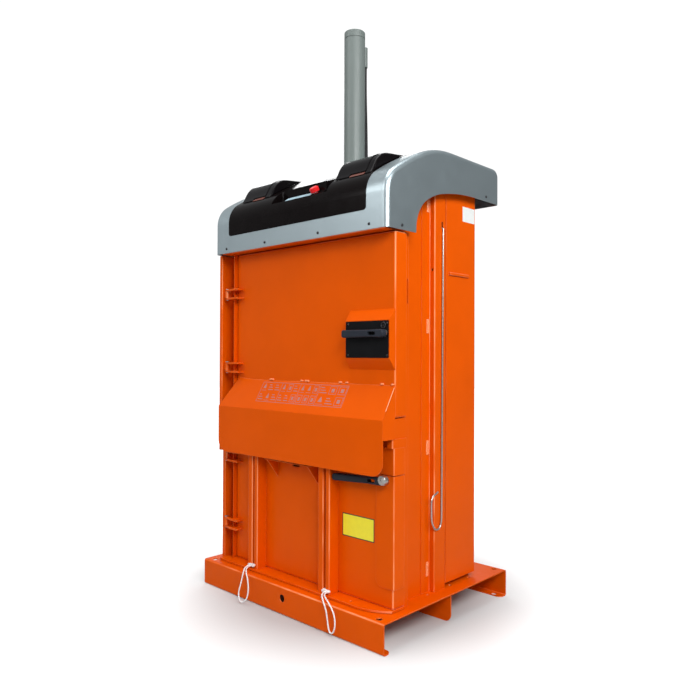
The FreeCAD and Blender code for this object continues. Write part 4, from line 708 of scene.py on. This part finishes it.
# ---- geometry nodes
class NodeTree(Wiring):
    """A geometry node tree with named inputs."""

    def __init__(self, name: str) -> None:
        """Start a tree that takes and gives a geometry.

        Args:
            name: the tree's name.
        """
        super().__init__(bpy.data.node_groups.new(name, "GeometryNodeTree"))
        for way in ("INPUT", "OUTPUT"):
            self.tree.interface.new_socket("Geometry", in_out=way, socket_type="NodeSocketGeometry")
        self.entry = self.add("NodeGroupInput")
        self.exit = self.add("NodeGroupOutput")
        self.values: dict[str, object] = {}

    def value(self, name: str, kind: str, value: object) -> Socket:
        """Add a named input.

        Args:
            name: the input's name.
            kind: its socket type.
            value: the value that the modifier gives it.

        Returns:
            The socket inside the tree.
        """
        item = self.tree.interface.new_socket(name, in_out="INPUT", socket_type=kind)
        self.values[item.identifier] = value
        return self.entry.outputs[name]

    def draw(self, seed: Socket, low: float, high: float) -> Socket:
        """A random number between two."""
        links = {"Seed": seed, RANDOM_LOW: low, RANDOM_HIGH: high}
        return self.add("FunctionNodeRandomValue", links, data_type="FLOAT").outputs[RANDOM_RESULT]

    def apply(self, carrier: Mesh, result: Socket, piece: Piece) -> None:
        """Realize, paint and run the tree on a carrier mesh, and link what it makes.

        Args:
            carrier: the mesh that feeds the tree.
            result: the socket with the instances.
            piece: the piece to make.
        """
        real = self.add("GeometryNodeRealizeInstances", {"Geometry": result})
        links = {"Geometry": real.outputs[0], "Material": piece.coat.material()}
        painted = self.add("GeometryNodeSetMaterial", links)
        self.fill(self.exit.inputs[0], painted.outputs[0])
        holder = linked(piece.name + "_carrier", carrier)
        modifier = holder.modifiers.new("nodes", "NODES")
        modifier.node_group = self.tree
        for identifier, value in self.values.items():
            modifier[identifier] = value
        depsgraph = bpy.context.evaluated_depsgraph_get()
        made = bpy.data.meshes.new_from_object(holder.evaluated_get(depsgraph), depsgraph=depsgraph)
        made.name = piece.name
        bpy.data.objects.remove(holder)
        smooth_by_angle(made)
        piece.link(made)


@dataclass(frozen=True)
class ButtonScrew:
    """A round-headed screw with a hexagon socket, set at points by a node tree."""

    radius: float = 0.0052
    height: float = 0.0030
    socket: float = 0.0024
    socket_depth: float = 0.0018
    sunk: float = 0.0002
    dome: tuple[Flat, ...] = ((1.0, 0.25), (0.93, 0.6), (0.76, 0.88))
    lip: float = 1.25
    steps: int = 24
    seed: int = 7

    def head(self) -> bpy.types.Object:
        """The one head that every place repeats.

        Returns:
            An unlinked object with the head's mesh.
        """
        sixth = math.tau / 6
        hexagon = [self.socket * math.cos(sixth / 2) / math.cos(turn % sixth - sixth / 2)
                   for turn in turns(self.steps)]
        dome = [(self.radius, -self.sunk), (self.socket * self.lip, self.height)]
        dome[1:1] = [(self.radius * wide, self.height * high) for wide, high in self.dome]
        socket = [(hexagon, self.height), (hexagon, self.height - self.socket_depth)]
        work = bmesh.new()
        stack(even(dome, self.steps) + socket, work, capped=True)
        return bpy.data.objects.new("screw_head", finish_mesh(work, "screw_head"))

    def place(self, piece: Piece, places: Sequence[tuple[Point, Point]]) -> None:
        """Set screws at places.

        Args:
            piece: the piece that they make up.
            places: a point and an outward direction each.
        """
        carrier = bpy.data.meshes.new(piece.name)
        carrier.from_pydata([place for place, _ in places], [], [])
        outward = carrier.attributes.new("facing", "FLOAT_VECTOR", "POINT")
        for item, (_, direction) in zip(outward.data, places):
            item.vector = direction
        nodes = NodeTree(piece.name + "_tree")
        model = nodes.value("Head", "NodeSocketObject", self.head())
        seed = nodes.value("Seed", "NodeSocketInt", self.seed)
        named = nodes.add("GeometryNodeInputNamedAttribute", {"Name": "facing"}, data_type="FLOAT_VECTOR")
        facing = {"Vector": named.outputs["Attribute"]}
        upright = nodes.add("FunctionNodeAlignRotationToVector", facing, axis="Z")
        twist = nodes.add("FunctionNodeAxisAngleToRotation", {"Angle": nodes.draw(seed, 0.0, math.tau / 6)})
        links = {"Rotation": upright.outputs[0], "Rotate By": twist.outputs[0]}
        both = nodes.add("FunctionNodeRotateRotation", links, rotation_space="LOCAL")
        info = nodes.add("GeometryNodeObjectInfo", {"Object": model})
        spots = nodes.add("GeometryNodeInstanceOnPoints", {
            "Points": nodes.entry.outputs["Geometry"], "Instance": info.outputs["Geometry"],
            "Rotation": both.outputs[0]})
        nodes.apply(carrier, spots.outputs[0], piece)


@dataclass(frozen=True)
class WeldBead:
    """A row of overlapping weld ripples along straight runs."""

    radius: float = 0.0032
    pitch: float = 0.0030
    sizes: Flat = (0.82, 1.12)
    seed: int = 3
    divisions: int = 2

    def run(self, piece: Piece, lines: Sequence[tuple[Point, Point]]) -> None:
        """Lay beads along lines.

        Args:
            piece: the piece that they make up.
            lines: the start and end of each bead.
        """
        carrier = bpy.data.meshes.new(piece.name)
        points = [point for line in lines for point in line]
        carrier.from_pydata(points, [(2 * i, 2 * i + 1) for i in range(len(lines))], [])
        nodes = NodeTree(piece.name + "_tree")
        radius = nodes.value("Radius", "NodeSocketFloat", self.radius)
        pitch = nodes.value("Pitch", "NodeSocketFloat", self.pitch)
        seed = nodes.value("Seed", "NodeSocketInt", self.seed)
        curve = nodes.add("GeometryNodeMeshToCurve", {"Mesh": nodes.entry.outputs["Geometry"]})
        spaced = nodes.add("GeometryNodeResampleCurve", {"Curve": curve.outputs[0], "Length": pitch},
                           mode="LENGTH")
        ripple = nodes.add("GeometryNodeMeshIcoSphere", {"Radius": radius, "Subdivisions": self.divisions})
        spots = nodes.add("GeometryNodeInstanceOnPoints", {
            "Points": spaced.outputs[0], "Instance": ripple.outputs[0],
            "Scale": nodes.draw(seed, *self.sizes)})
        nodes.apply(carrier, spots.outputs[0], piece)


# ---- camera, light and floor
@dataclass(frozen=True)
class SoftBox:
    """A soft light, with its width and height and its power in watts."""

    name: str
    place: Point
    target: Point
    size: Flat
    power: float

    def build(self) -> None:
        """Make the light."""
        data = bpy.data.lights.new(self.name, "AREA")
        data.shape = "RECTANGLE"
        data.size, data.size_y = self.size
        data.energy = self.power
        aim = (Vector(self.target) - Vector(self.place)).to_track_quat("-Z", "Y").to_matrix().to_4x4()
        linked(self.name, data).matrix_world = Matrix.Translation(self.place) @ aim


@dataclass
class Studio:
    """The camera at the photograph's angle, soft light and a pale floor."""

    place: Point = (1.8728, -1.9812, 0.9635)
    heading: float = math.radians(43.145)
    pitch: float = math.radians(0.424)
    roll: float = math.radians(0.204)
    lens: float = 34.09
    sensor: float = 36.0
    shift: Flat = (-0.0076, -0.0011)
    far: float = 60.0
    room: Flat = (0.14, 0.50)
    room_colour: Colour = (0.95, 0.98, 1.0)
    room_range: Flat = (-0.8, 1.0)
    bright_side: Point = (-0.55, -0.62, 0.55)
    backdrop: float = 1.05
    floor_half: float = 14.0
    floor_grey: float = 0.50
    floor_rough: float = 0.85
    floor_shine: float = 0.1
    glow_range: Flat = (0.42, 1.10)
    lights: tuple[SoftBox, ...] = (
        SoftBox("key", (3.9, -0.5, 3.1), (0.4, 0.0, 1.3), (1.8, 1.8), 75.0),
        SoftBox("flash", (3.1, -2.0, 2.8), (0.3, -0.1, 1.1), (1.2, 1.2), 72.0),
        SoftBox("front", (-1.6, -4.0, 3.4), (0.0, 0.0, 1.4), (2.6, 1.6), 44.0),
        SoftBox("top", (0.2, -0.6, 4.8), (0.0, 0.0, 1.6), (2.6, 2.6), 84.0),
        SoftBox("rear", (-2.8, 2.8, 2.6), (0.0, 0.0, 1.1), (2.4, 2.4), 70.0),
        SoftBox("glint", (2.5, -2.2, 2.1), (0.4, -0.3, 1.1), (0.35, 0.7), 7.0))

    def camera(self) -> None:
        """Make the camera."""
        data = bpy.data.cameras.new("camera")
        data.lens = self.lens
        data.sensor_width = self.sensor
        data.shift_x, data.shift_y = self.shift
        data.clip_end = self.far
        camera = linked("camera", data)
        upright = math.pi / 2 + self.pitch
        camera.matrix_world = (Matrix.Translation(self.place) @ Matrix.Rotation(self.heading, 4, "Z")
                               @ Matrix.Rotation(upright, 4, "X") @ Matrix.Rotation(self.roll, 4, "Z"))
        bpy.context.scene.camera = camera

    def world(self) -> None:
        """Make the white backdrop, and the dimmer room that lights the machine from its bright side."""
        world = bpy.data.worlds.new("studio")
        world.use_nodes = True
        graph = Wiring(world.node_tree)
        way = graph.add("ShaderNodeTexCoord").outputs["Generated"]
        side = Vector(self.bright_side).normalized()
        facing = graph.add("ShaderNodeVectorMath", {0: way, 1: side}, operation="DOT_PRODUCT")
        strength = graph.spread(facing.outputs["Value"], *self.room, *self.room_range)
        room = graph.add("ShaderNodeBackground", {"Color": solid(self.room_colour), "Strength": strength})
        backdrop = graph.add("ShaderNodeBackground", {"Color": solid(WHITE), "Strength": self.backdrop})
        seen = graph.add("ShaderNodeLightPath").outputs["Is Camera Ray"]
        choice = graph.add("ShaderNodeMixShader", {0: seen, 1: room.outputs[0], 2: backdrop.outputs[0]})
        graph.fill(graph.tree.nodes["World Output"].inputs["Surface"], choice.outputs[0])
        bpy.context.scene.world = world
        bpy.context.scene.view_settings.view_transform = "Standard"

    def floor(self) -> None:
        """Make the pale floor, which glows for the camera alone away from the machine."""
        mesh = bpy.data.meshes.new("floor")
        corners = rectangle(-self.floor_half, self.floor_half, -self.floor_half, self.floor_half)
        mesh.from_pydata([(x, y, 0.0) for x, y in corners], [], [(0, 1, 2, 3)])
        floor = linked("floor", mesh)
        graph = ShaderGraph("floor_paint")
        reach = graph.add("ShaderNodeVectorMath", {0: graph.place}, operation="LENGTH").outputs["Value"]
        seen = graph.add("ShaderNodeLightPath").outputs["Is Camera Ray"]
        glow = graph.maths("MULTIPLY", seen, graph.spread(reach, 0.0, 1.0, *self.glow_range))
        graph.shade({"Base Color": solid((self.floor_grey,) * 3), "Roughness": self.floor_rough,
                     "Specular IOR Level": self.floor_shine, "Emission Color": solid(WHITE),
                     "Emission Strength": glow})
        mesh.materials.append(graph.material)

    def build(self) -> None:
        """Set up the whole studio."""
        self.camera()
        self.world()
        self.floor()
        for light in self.lights:
            light.build()


# ---- sub-assemblies
@dataclass
class SubAssembly:
    """A part of the machine that dresses its nodes of the frame and builds its own pieces."""

    nodes: dict[str, bpy.types.Object]

    def dress(self, coat: Coat, slot: str, names: str) -> None:
        """Give nodes of the frame their finish.

        Args:
            coat: the finish.
            slot: a material slot name; not used.
            names: the nodes to dress, with spaces between them.
        """
        for name in names.split():
            node = self.nodes[name]
            node.data.materials.clear()
            node.data.materials.append(coat.material())
            LOG.info("node %s: %s", name, coat.name)


@dataclass
class Housing(SubAssembly):
    """The welded body: base, chamber, posts, panels and header."""

    weld_x: float = 0.4180
    weld_rows: tuple[float, ...] = (-0.0500, -0.0455, -0.0410)
    weld_heights: tuple[float, ...] = (1.529, 1.089, 0.649, 0.209)
    weld_length: float = 0.047
    label_plane: Plane = Plane((0.4412, 0.0, 0.0), across=(0.0, 1.0, 0.0))
    label: Box = (0.143, 0.224, 1.472, 1.529)
    label_corner: float = 0.003
    label_thickness: float = 0.0003

    def build(self) -> None:
        """Dress the body's nodes and add its welds and label."""
        self.dress(Coat.BODY, "body_orange",
                   "base_frame base_middle_foot chamber_floor chamber_back_wall chamber_wall_left "
                   "chamber_wall_right side_skin_left side_skin_right rear_post_left rear_post_right "
                   "rear_panel_left rear_panel_right hinge_post_lower hinge_post_upper hinge_lugs "
                   "middle_rail latch_clip front_header top_crosshead")
        self.dress(Coat.ZINC, "steel", "hinge_pins rod_tool")
        lines = [((side * self.weld_x, y, z), (side * self.weld_x, y, z - self.weld_length))
                 for z, side, y in itertools.product(self.weld_heights, (1.0, -1.0), self.weld_rows)]
        WeldBead().run(Piece("post_welds", Coat.WELD, Body.FRAME, "body_orange"), lines)
        label = Piece("rear_label", Coat.PAPER, Body.FRAME, "body_orange")
        label.plate(self.label_plane, self.label, self.label_corner, self.label_thickness)


@dataclass
class Ram(SubAssembly):
    """The cylinder over the hood and the press below it."""

    def build(self) -> None:
        """Dress the ram's nodes."""
        self.dress(Coat.CYLINDER, "ram_grey", "cylinder_tube cylinder_cap cylinder_gland")
        self.dress(Coat.CHROME, "chrome", "piston_rod")
        self.dress(Coat.ZINC, "steel", "piston")
        self.dress(Coat.BODY, "body_orange", "press_plate")
        self.dress(Coat.RUBBER, "hose_black", "hydraulic_hose")


@dataclass
class PowerPack(SubAssembly):
    """The pump, tank and box under the hood."""

    def build(self) -> None:
        """Dress the power pack's nodes."""
        self.dress(Coat.MACHINE, "machine_grey", "oil_tank pump_motor electric_box power_pack_shelf")
        self.dress(Coat.ALUMINIUM, "machine_grey", "valve_block")


@dataclass
class ControlPanel:
    """What is on the control unit: a pale blue strip painted on its ledge as a reflection, and the stop
    button's collar and grip.
    """

    ledge: Plane = Plane((0.0, -0.326, 1.54362), (0.0, 0.026, 0.018))
    ledge_reflection: Box = (-0.056, 0.086, 0.0015, 0.0300)
    ledge_reflection_corner: float = 0.003
    ledge_reflection_thickness: float = 0.0006
    stop: Flat = (0.109, 0.0158114)
    collar_radius: float = 0.0158
    collar_low: float = 0.0046
    collar_wall: float = 0.0016
    collar_crown: float = 0.0004
    collar_steps: int = 40
    grip_radius: float = 0.0174
    grip_wall: float = 0.0012
    grip_ribs: int = 22
    grip_rib: float = 0.0004
    grip_low: float = 0.0068
    grip_high: float = 0.0210

    def build(self) -> None:
        """Make the painted reflection strip on the ledge, the collar and the ribbed grip."""
        ledge_reflection = Piece("keypad_field", Coat.PAINTED_LEDGE_REFLECTION, Body.FRAME, "console_black")
        ledge_reflection.plate(self.ledge, self.ledge_reflection, self.ledge_reflection_corner, self.ledge_reflection_thickness)
        seat, up = self.ledge.lay([self.stop])[0], self.ledge.outward()
        outer, low, high = self.collar_radius, self.collar_low, self.collar_low + self.collar_wall
        inner = outer - self.collar_wall
        outline = ((inner, low), (outer, low), (outer, high), (inner, high + self.collar_crown), (inner, low))
        collar = Piece("stop_collar", Coat.SILVER_TRIM, Body.STOP, "steel")
        collar.turned(even(outline, self.collar_steps), seat, up)
        ribbed = [self.grip_radius - self.grip_rib, self.grip_radius] * self.grip_ribs
        inside = [self.grip_radius - self.grip_wall] * len(ribbed)
        low, high = self.grip_low, self.grip_high
        sleeve = ((ribbed, low), (ribbed, high), (inside, high), (inside, low), (ribbed, low))
        Piece("stop_grip", Coat.STOP, Body.STOP, "stop_red").turned(sleeve, seat, up)


@dataclass
class StrapTongue:
    """The end of a strap that lies in a lid's mouth."""

    name: str
    middle: float
    half_width: float = 0.034
    thickness: float = 0.0009
    route: tuple[Flat, ...] = (
        (-0.2560, 1.5690), (-0.2630, 1.5880), (-0.2720, 1.6035), (-0.2830, 1.5990), (-0.2930, 1.5925),
        (-0.3015, 1.5862), (-0.3055, 1.5822))

    def build(self) -> None:
        """Make the strap end."""
        work = bmesh.new()
        left, right = self.middle - self.half_width, self.middle + self.half_width
        rings = []
        for index, (y, z) in enumerate(self.route):
            before, after = self.route[max(0, index - 1)], self.route[min(len(self.route) - 1, index + 1)]
            along = (Vector(after) - Vector(before)).normalized() * (self.thickness / 2)
            rings.append([work.verts.new((x, y - along.y * hand, z + along.x * hand))
                          for x, hand in ((left, 1.0), (right, 1.0), (right, -1.0), (left, -1.0))])
        loft(rings, work, capped=True)
        Piece(self.name, Coat.ROLL, Body.FRAME, "strap_roll").close(work)


@dataclass
class Hood(SubAssembly):
    """The silver hood with its screws, and the black console."""

    front: float = -0.3421
    side: float = 0.4751
    front_screws: tuple[float, ...] = (-0.397, -0.150, 0.150, 0.397)
    front_level: float = 1.398
    side_screws: tuple[Flat, ...] = ((-0.264, 1.395), (0.254, 1.580))
    tongues: tuple[tuple[str, float], ...] = (("strap_end_left", -0.2390), ("strap_end_right", 0.3030))

    def build(self) -> None:
        """Dress the hood and console and set the screws."""
        self.dress(Coat.HOOD, "hood_silver", "hood")
        self.dress(Coat.CONSOLE, "console_black", "console")
        self.dress(Coat.LID, "lid_black", "strap_lid_left strap_lid_right")
        self.dress(Coat.STOP, "stop_red", "emergency_stop")
        self.dress(Coat.ROLL, "strap_roll", "strap_roll_left strap_roll_right")
        self.dress(Coat.ZINC, "steel", "strap_spindles")
        places = [((x, self.front, self.front_level), FORWARD) for x in self.front_screws]
        for hand in (1.0, -1.0):
            places += [((self.side * hand, y, z), (hand, 0.0, 0.0)) for y, z in self.side_screws]
        ButtonScrew().place(Piece("hood_screws", Coat.SCREW, Body.FRAME, "steel"), places)
        ControlPanel().build()
        for name, middle in self.tongues:
            StrapTongue(name, middle).build()


FLAP_SLOPE = Plane((0.0, -0.3331, 0.7764), (0.0, 0.0438, 0.0762))


@dataclass(frozen=True)
class Figure:
    """One place in the printed field, and the stroke of what is drawn there."""

    left: float
    low: float
    width: float
    height: float
    stroke: float
    inner: Box = (0.3, 0.7, 0.25, 0.7)
    corners: tuple[Flat, ...] = ((0.2, 0.3), (0.8, 0.3), (0.5, 1.0))
    bar_widths: Point = (1.0, 0.75, 0.5)
    bar_low: float = 0.1
    bar_step: float = 0.32

    def block(self, x0: float, x1: float, z0: float, z1: float) -> list[Flat]:
        """A block between shares of the width, and between heights."""
        x = self.left
        return rectangle(x + self.width * x0, x + self.width * x1, self.low + z0, self.low + z1)

    def framed(self) -> list[list[Flat]]:
        """A thin box with a block in it.

        Returns:
            The outlines to lay.
        """
        line, below_top = self.stroke / self.width, self.height - self.stroke
        x0, x1, z0, z1 = self.inner
        return [self.block(0.0, 1.0, 0.0, self.stroke), self.block(0.0, 1.0, below_top, self.height),
                self.block(0.0, line, self.stroke, below_top),
                self.block(1.0 - line, 1.0, self.stroke, below_top),
                self.block(x0, x1, self.height * z0, self.height * z1)]

    def wedge(self) -> list[list[Flat]]:
        """A wedge over a thin bar."""
        wedge = [(self.left + self.width * x, self.low + self.height * z) for x, z in self.corners]
        return [self.block(0.0, 1.0, 0.0, self.stroke), wedge]

    def bars(self) -> list[list[Flat]]:
        """Three bars of falling length."""
        levels = [self.height * (self.bar_low + self.bar_step * row) for row in range(len(self.bar_widths))]
        return [self.block(0.0, x, z, z + self.stroke * 2) for x, z in zip(self.bar_widths, levels)]


@dataclass
class FlapPrint:
    """A faint printed field on the flap's slope: a thin frame, dividers and simple figures."""

    left: float = -0.213
    right: float = 0.260
    height: float = 0.0865
    line: float = 0.0018
    dividers: tuple[float, ...] = (-0.096, 0.010, 0.118)
    rows: int = 2
    columns: int = 3
    margin: float = 0.005
    stroke: float = 0.0016
    thickness: float = 0.0002
    seed: int = 5

    def build(self) -> None:
        """Make the field's lines and figures."""
        top = self.height - self.line
        shapes = [rectangle(self.left, self.right, 0.0, self.line),
                  rectangle(self.left, self.right, top, self.height)]
        shapes += [rectangle(x, x + self.line, self.line, top)
                   for x in (self.left, self.right - self.line, *self.dividers)]
        draw = random.Random(self.seed)
        edges = (self.left, *self.dividers, self.right)
        cell = top / self.rows
        for (x0, x1), row, column in itertools.product(zip(edges, edges[1:]), range(self.rows),
                                                       range(self.columns)):
            width = (x1 - x0 - self.line) / self.columns
            left, low = x0 + self.line + column * width + self.margin, self.line + row * cell + self.margin
            figure = Figure(left, low, width - 2 * self.margin, cell - 2 * self.margin, self.stroke)
            shapes += draw.choice((figure.framed, figure.wedge, figure.bars))()
        work = bmesh.new()
        for shape in shapes:
            slab(FLAP_SLOPE.lay(shape), FLAP_SLOPE.outward() * self.thickness, work)
        Piece("flap_print", Coat.FAINT_INK, Body.UPPER_DOOR, "door_orange").close(work)


@dataclass
class UpperDoor(SubAssembly):
    """The upper door with its flap and recessed handle."""

    plate_front: float = -0.3172
    plate_corners: tuple[Flat, ...] = ((0.280, 1.067), (0.456, 1.067), (0.280, 0.960), (0.456, 0.960))
    tab_level: float = 0.8625
    tab_front: float = -0.2868
    tabs: tuple[Flat, ...] = (
        (-0.178, -0.159), (0.004, 0.013), (0.028, 0.046), (0.207, 0.217), (0.241, 0.248), (0.406, 0.414),
        (0.452, 0.458))
    lock: Point = (0.4400, -0.3168, 1.0602)
    lock_steps: int = 32
    lock_ring: tuple[Flat, ...] = (
        (0.0072, 0.0), (0.0108, 0.0), (0.0108, 0.0018), (0.0098, 0.0028), (0.0078, 0.0028), (0.0072, 0.0020),
        (0.0072, 0.0))
    lock_core: tuple[Flat, ...] = ((0.0, 0.0), (0.0071, 0.0), (0.0071, 0.0012), (0.0, 0.0012))
    slot_half: Flat = (0.0010, 0.0042)
    slot_corner: float = 0.0008
    slot_lift: float = 0.0011
    slot_thickness: float = 0.0003
    highlight_strip: Box = (0.4639, 0.4661, 0.0, 0.0878)
    highlight_strip_thickness: float = 0.0004

    def lock_pieces(self) -> None:
        """Make the lock over the handle: its ring, its core and a dark plate on the core, painted as the
        shade in its slot.
        """
        ring = Piece("lock_ring", Coat.SCREW, Body.UPPER_DOOR, "steel")
        ring.turned(even(self.lock_ring, self.lock_steps), self.lock, FORWARD)
        core = Piece("lock_core", Coat.PLATE, Body.UPPER_DOOR, "steel")
        core.turned(even(self.lock_core, self.lock_steps), self.lock, FORWARD)
        x, y, z = self.lock
        wide, high = self.slot_half
        slot = Piece("lock_slot", Coat.INK_AND_HOLE_SHADE, Body.UPPER_DOOR, "steel")
        slot.plate(Plane((0.0, y, 0.0)), (x - wide, x + wide, z - high, z + high), self.slot_corner,
                   self.slot_thickness, self.slot_lift)

    def build(self) -> None:
        """Dress the upper door's nodes and add its lock, print, welds and screws."""
        self.dress(Coat.BODY, "door_orange", "upper_door_panel upper_door_liner upper_hinge_arms")
        self.dress(Coat.SLOPED, "door_orange", "upper_handle_housing")
        self.dress(Coat.FLAP, "door_orange", "loading_flap")
        self.dress(Coat.PLATE, "plate_black", "upper_handle_plate")
        self.dress(Coat.GRIP, "lever_black", "upper_lever")
        self.dress(Coat.ZINC, "steel", "upper_latch_spindle")
        self.lock_pieces()
        # A thin pale strip along the slope's right end, painted as the highlight on the flap's cut edge.
        edge_highlight = Piece("flap_cut_edge", Coat.EDGE, Body.UPPER_DOOR, "door_orange")
        edge_highlight.plate(FLAP_SLOPE, self.highlight_strip, 0.0, self.highlight_strip_thickness)
        screw = ButtonScrew(radius=0.0036, height=0.0018, socket=0.0016, socket_depth=0.0011, seed=11)
        places = [((x, self.plate_front, z), FORWARD) for x, z in self.plate_corners]
        screw.place(Piece("plate_screws", Coat.SCREW, Body.UPPER_DOOR, "steel"), places)
        FlapPrint().build()
        lines = [((x0, self.tab_front, self.tab_level), (x1, self.tab_front, self.tab_level))
                 for x0, x1 in self.tabs]
        bead = WeldBead(radius=0.0042, pitch=0.0026, seed=9)
        bead.run(Piece("flap_welds", Coat.WELD, Body.UPPER_DOOR, "door_orange"), lines)


@dataclass(frozen=True)
class PullLoop:
    """A strap loop that hangs from the lower door, as a cord in place of a node of the frame."""

    name: str
    node: str
    route: tuple[Point, ...]
    radius: float = 0.0025
    length: float = 0.3637
    order: int = 3
    steps: int = 8
    round_steps: int = 4

    def build(self) -> None:
        """Make the loop."""
        curve = bpy.data.curves.new(self.name, "CURVE")
        curve.dimensions = "3D"
        spline = curve.splines.new("NURBS")
        spline.points.add(len(self.route) - 1)
        for point, place in zip(spline.points, self.route):
            point.co = (*place, 1.0)
        spline.order_u = self.order
        spline.use_endpoint_u = True
        spline.resolution_u = self.steps
        curve.bevel_depth = self.radius
        curve.bevel_resolution = self.round_steps
        curve.use_fill_caps = True
        loop = linked(self.name, curve)
        curve.materials.append(Coat.STRAP.material())
        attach(loop, Body.LOWER_DOOR.value)
        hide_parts(self.node)
        LOG.info("cord %s in place of %s", self.name, self.node)


LOOPS = (
    PullLoop("left_pull_loop", "pull_loop_left", (
        (-0.236, -0.340, 0.125), (-0.236, -0.362, 0.125), (-0.218, -0.386, 0.108), (-0.216, -0.397, 0.074),
        (-0.222, -0.405, 0.040), (-0.210, -0.412, 0.014), (-0.186, -0.413, 0.006), (-0.164, -0.409, 0.026),
        (-0.162, -0.403, 0.060), (-0.178, -0.394, 0.094), (-0.204, -0.384, 0.114), (-0.226, -0.362, 0.125),
        (-0.226, -0.340, 0.125))),
    PullLoop("right_pull_loop", "pull_loop_right", (
        (0.194, -0.340, 0.125), (0.194, -0.361, 0.125), (0.226, -0.383, 0.112), (0.248, -0.388, 0.084),
        (0.254, -0.388, 0.050), (0.262, -0.389, 0.020), (0.276, -0.390, 0.014), (0.288, -0.389, 0.030),
        (0.291, -0.388, 0.060), (0.280, -0.387, 0.092), (0.244, -0.382, 0.120), (0.204, -0.361, 0.125),
        (0.204, -0.340, 0.125))))


@dataclass
class LowerDoor(SubAssembly):
    """The lower door with strap channels, lever, sign and pull loops."""

    face: Plane = Plane((0.0, -0.2850, 0.0))
    sign: Box = (0.224, 0.375, 0.320, 0.401)
    sign_thickness: float = 0.0004
    sign_corner: float = 0.002
    border: float = 0.0035
    field_thickness: float = 0.0005
    field_lift: float = 0.0002
    cap: Point = (0.4390, -0.3080, 0.5465)
    cap_outline: tuple[Flat, ...] = (
        (0.0, 0.0), (0.0165, 0.0), (0.0165, 0.0148), (0.0152, 0.0162), (0.0095, 0.0166), (0.0080, 0.0180),
        (0.0, 0.0180))
    cap_steps: int = 48
    hole: Point = (0.4365, -0.3259, 0.5475)
    hole_outline: tuple[Flat, ...] = ((0.0, 0.0), (0.0022, 0.0), (0.0022, 0.0004), (0.0, 0.0004))
    hole_steps: int = 20

    def build(self) -> None:
        """Make the loops, dress the lower door's nodes and add its sign and the lever's cap."""
        for loop in LOOPS:
            loop.build()
        self.dress(Coat.BODY, "door_orange",
                   "lower_door_panel lower_door_liner strap_channels lower_door_foot latch_side_strip "
                   "lower_hinge_arms")
        self.dress(Coat.GRIP, "lever_black", "lower_lever")
        self.dress(Coat.ZINC, "steel", "lower_latch_spindle")
        self.dress(Coat.STRAP, "strap_white", "pull_knots")
        edge = Piece("sign_edge", Coat.INK_AND_HOLE_SHADE, Body.LOWER_DOOR, "door_orange")
        edge.plate(self.face, self.sign, self.sign_corner, self.sign_thickness)
        x0, x1, z0, z1 = self.sign
        inner = (x0 + self.border, x1 - self.border, z0 + self.border, z1 - self.border)
        field = Piece("sign_field", Coat.YELLOW, Body.LOWER_DOOR, "door_orange")
        field.plate(self.face, inner, self.sign_corner, self.field_thickness, self.field_lift)
        cap = Piece("lever_cap", Coat.ZINC, Body.LOWER_HANDLE, "steel")
        cap.turned(even(self.cap_outline, self.cap_steps), self.cap, FORWARD)
        # A dark disc on the cap, painted as the shade inside its hole.
        hole = Piece("lever_cap_hole", Coat.INK_AND_HOLE_SHADE, Body.LOWER_HANDLE, "steel")
        hole.turned(even(self.hole_outline, self.hole_steps), self.hole, FORWARD)


def main() -> None:
    """Build every sub-assembly round the frame."""
    logging.basicConfig(level=logging.INFO, format="%(name)s: %(message)s")
    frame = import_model()
    nodes = frame["nodes"]
    Studio().build()
    for assembly in (LowerDoor, UpperDoor, Housing, Ram, PowerPack, Hood):
        assembly(nodes).build()


if __name__ == "__main__":
    main()
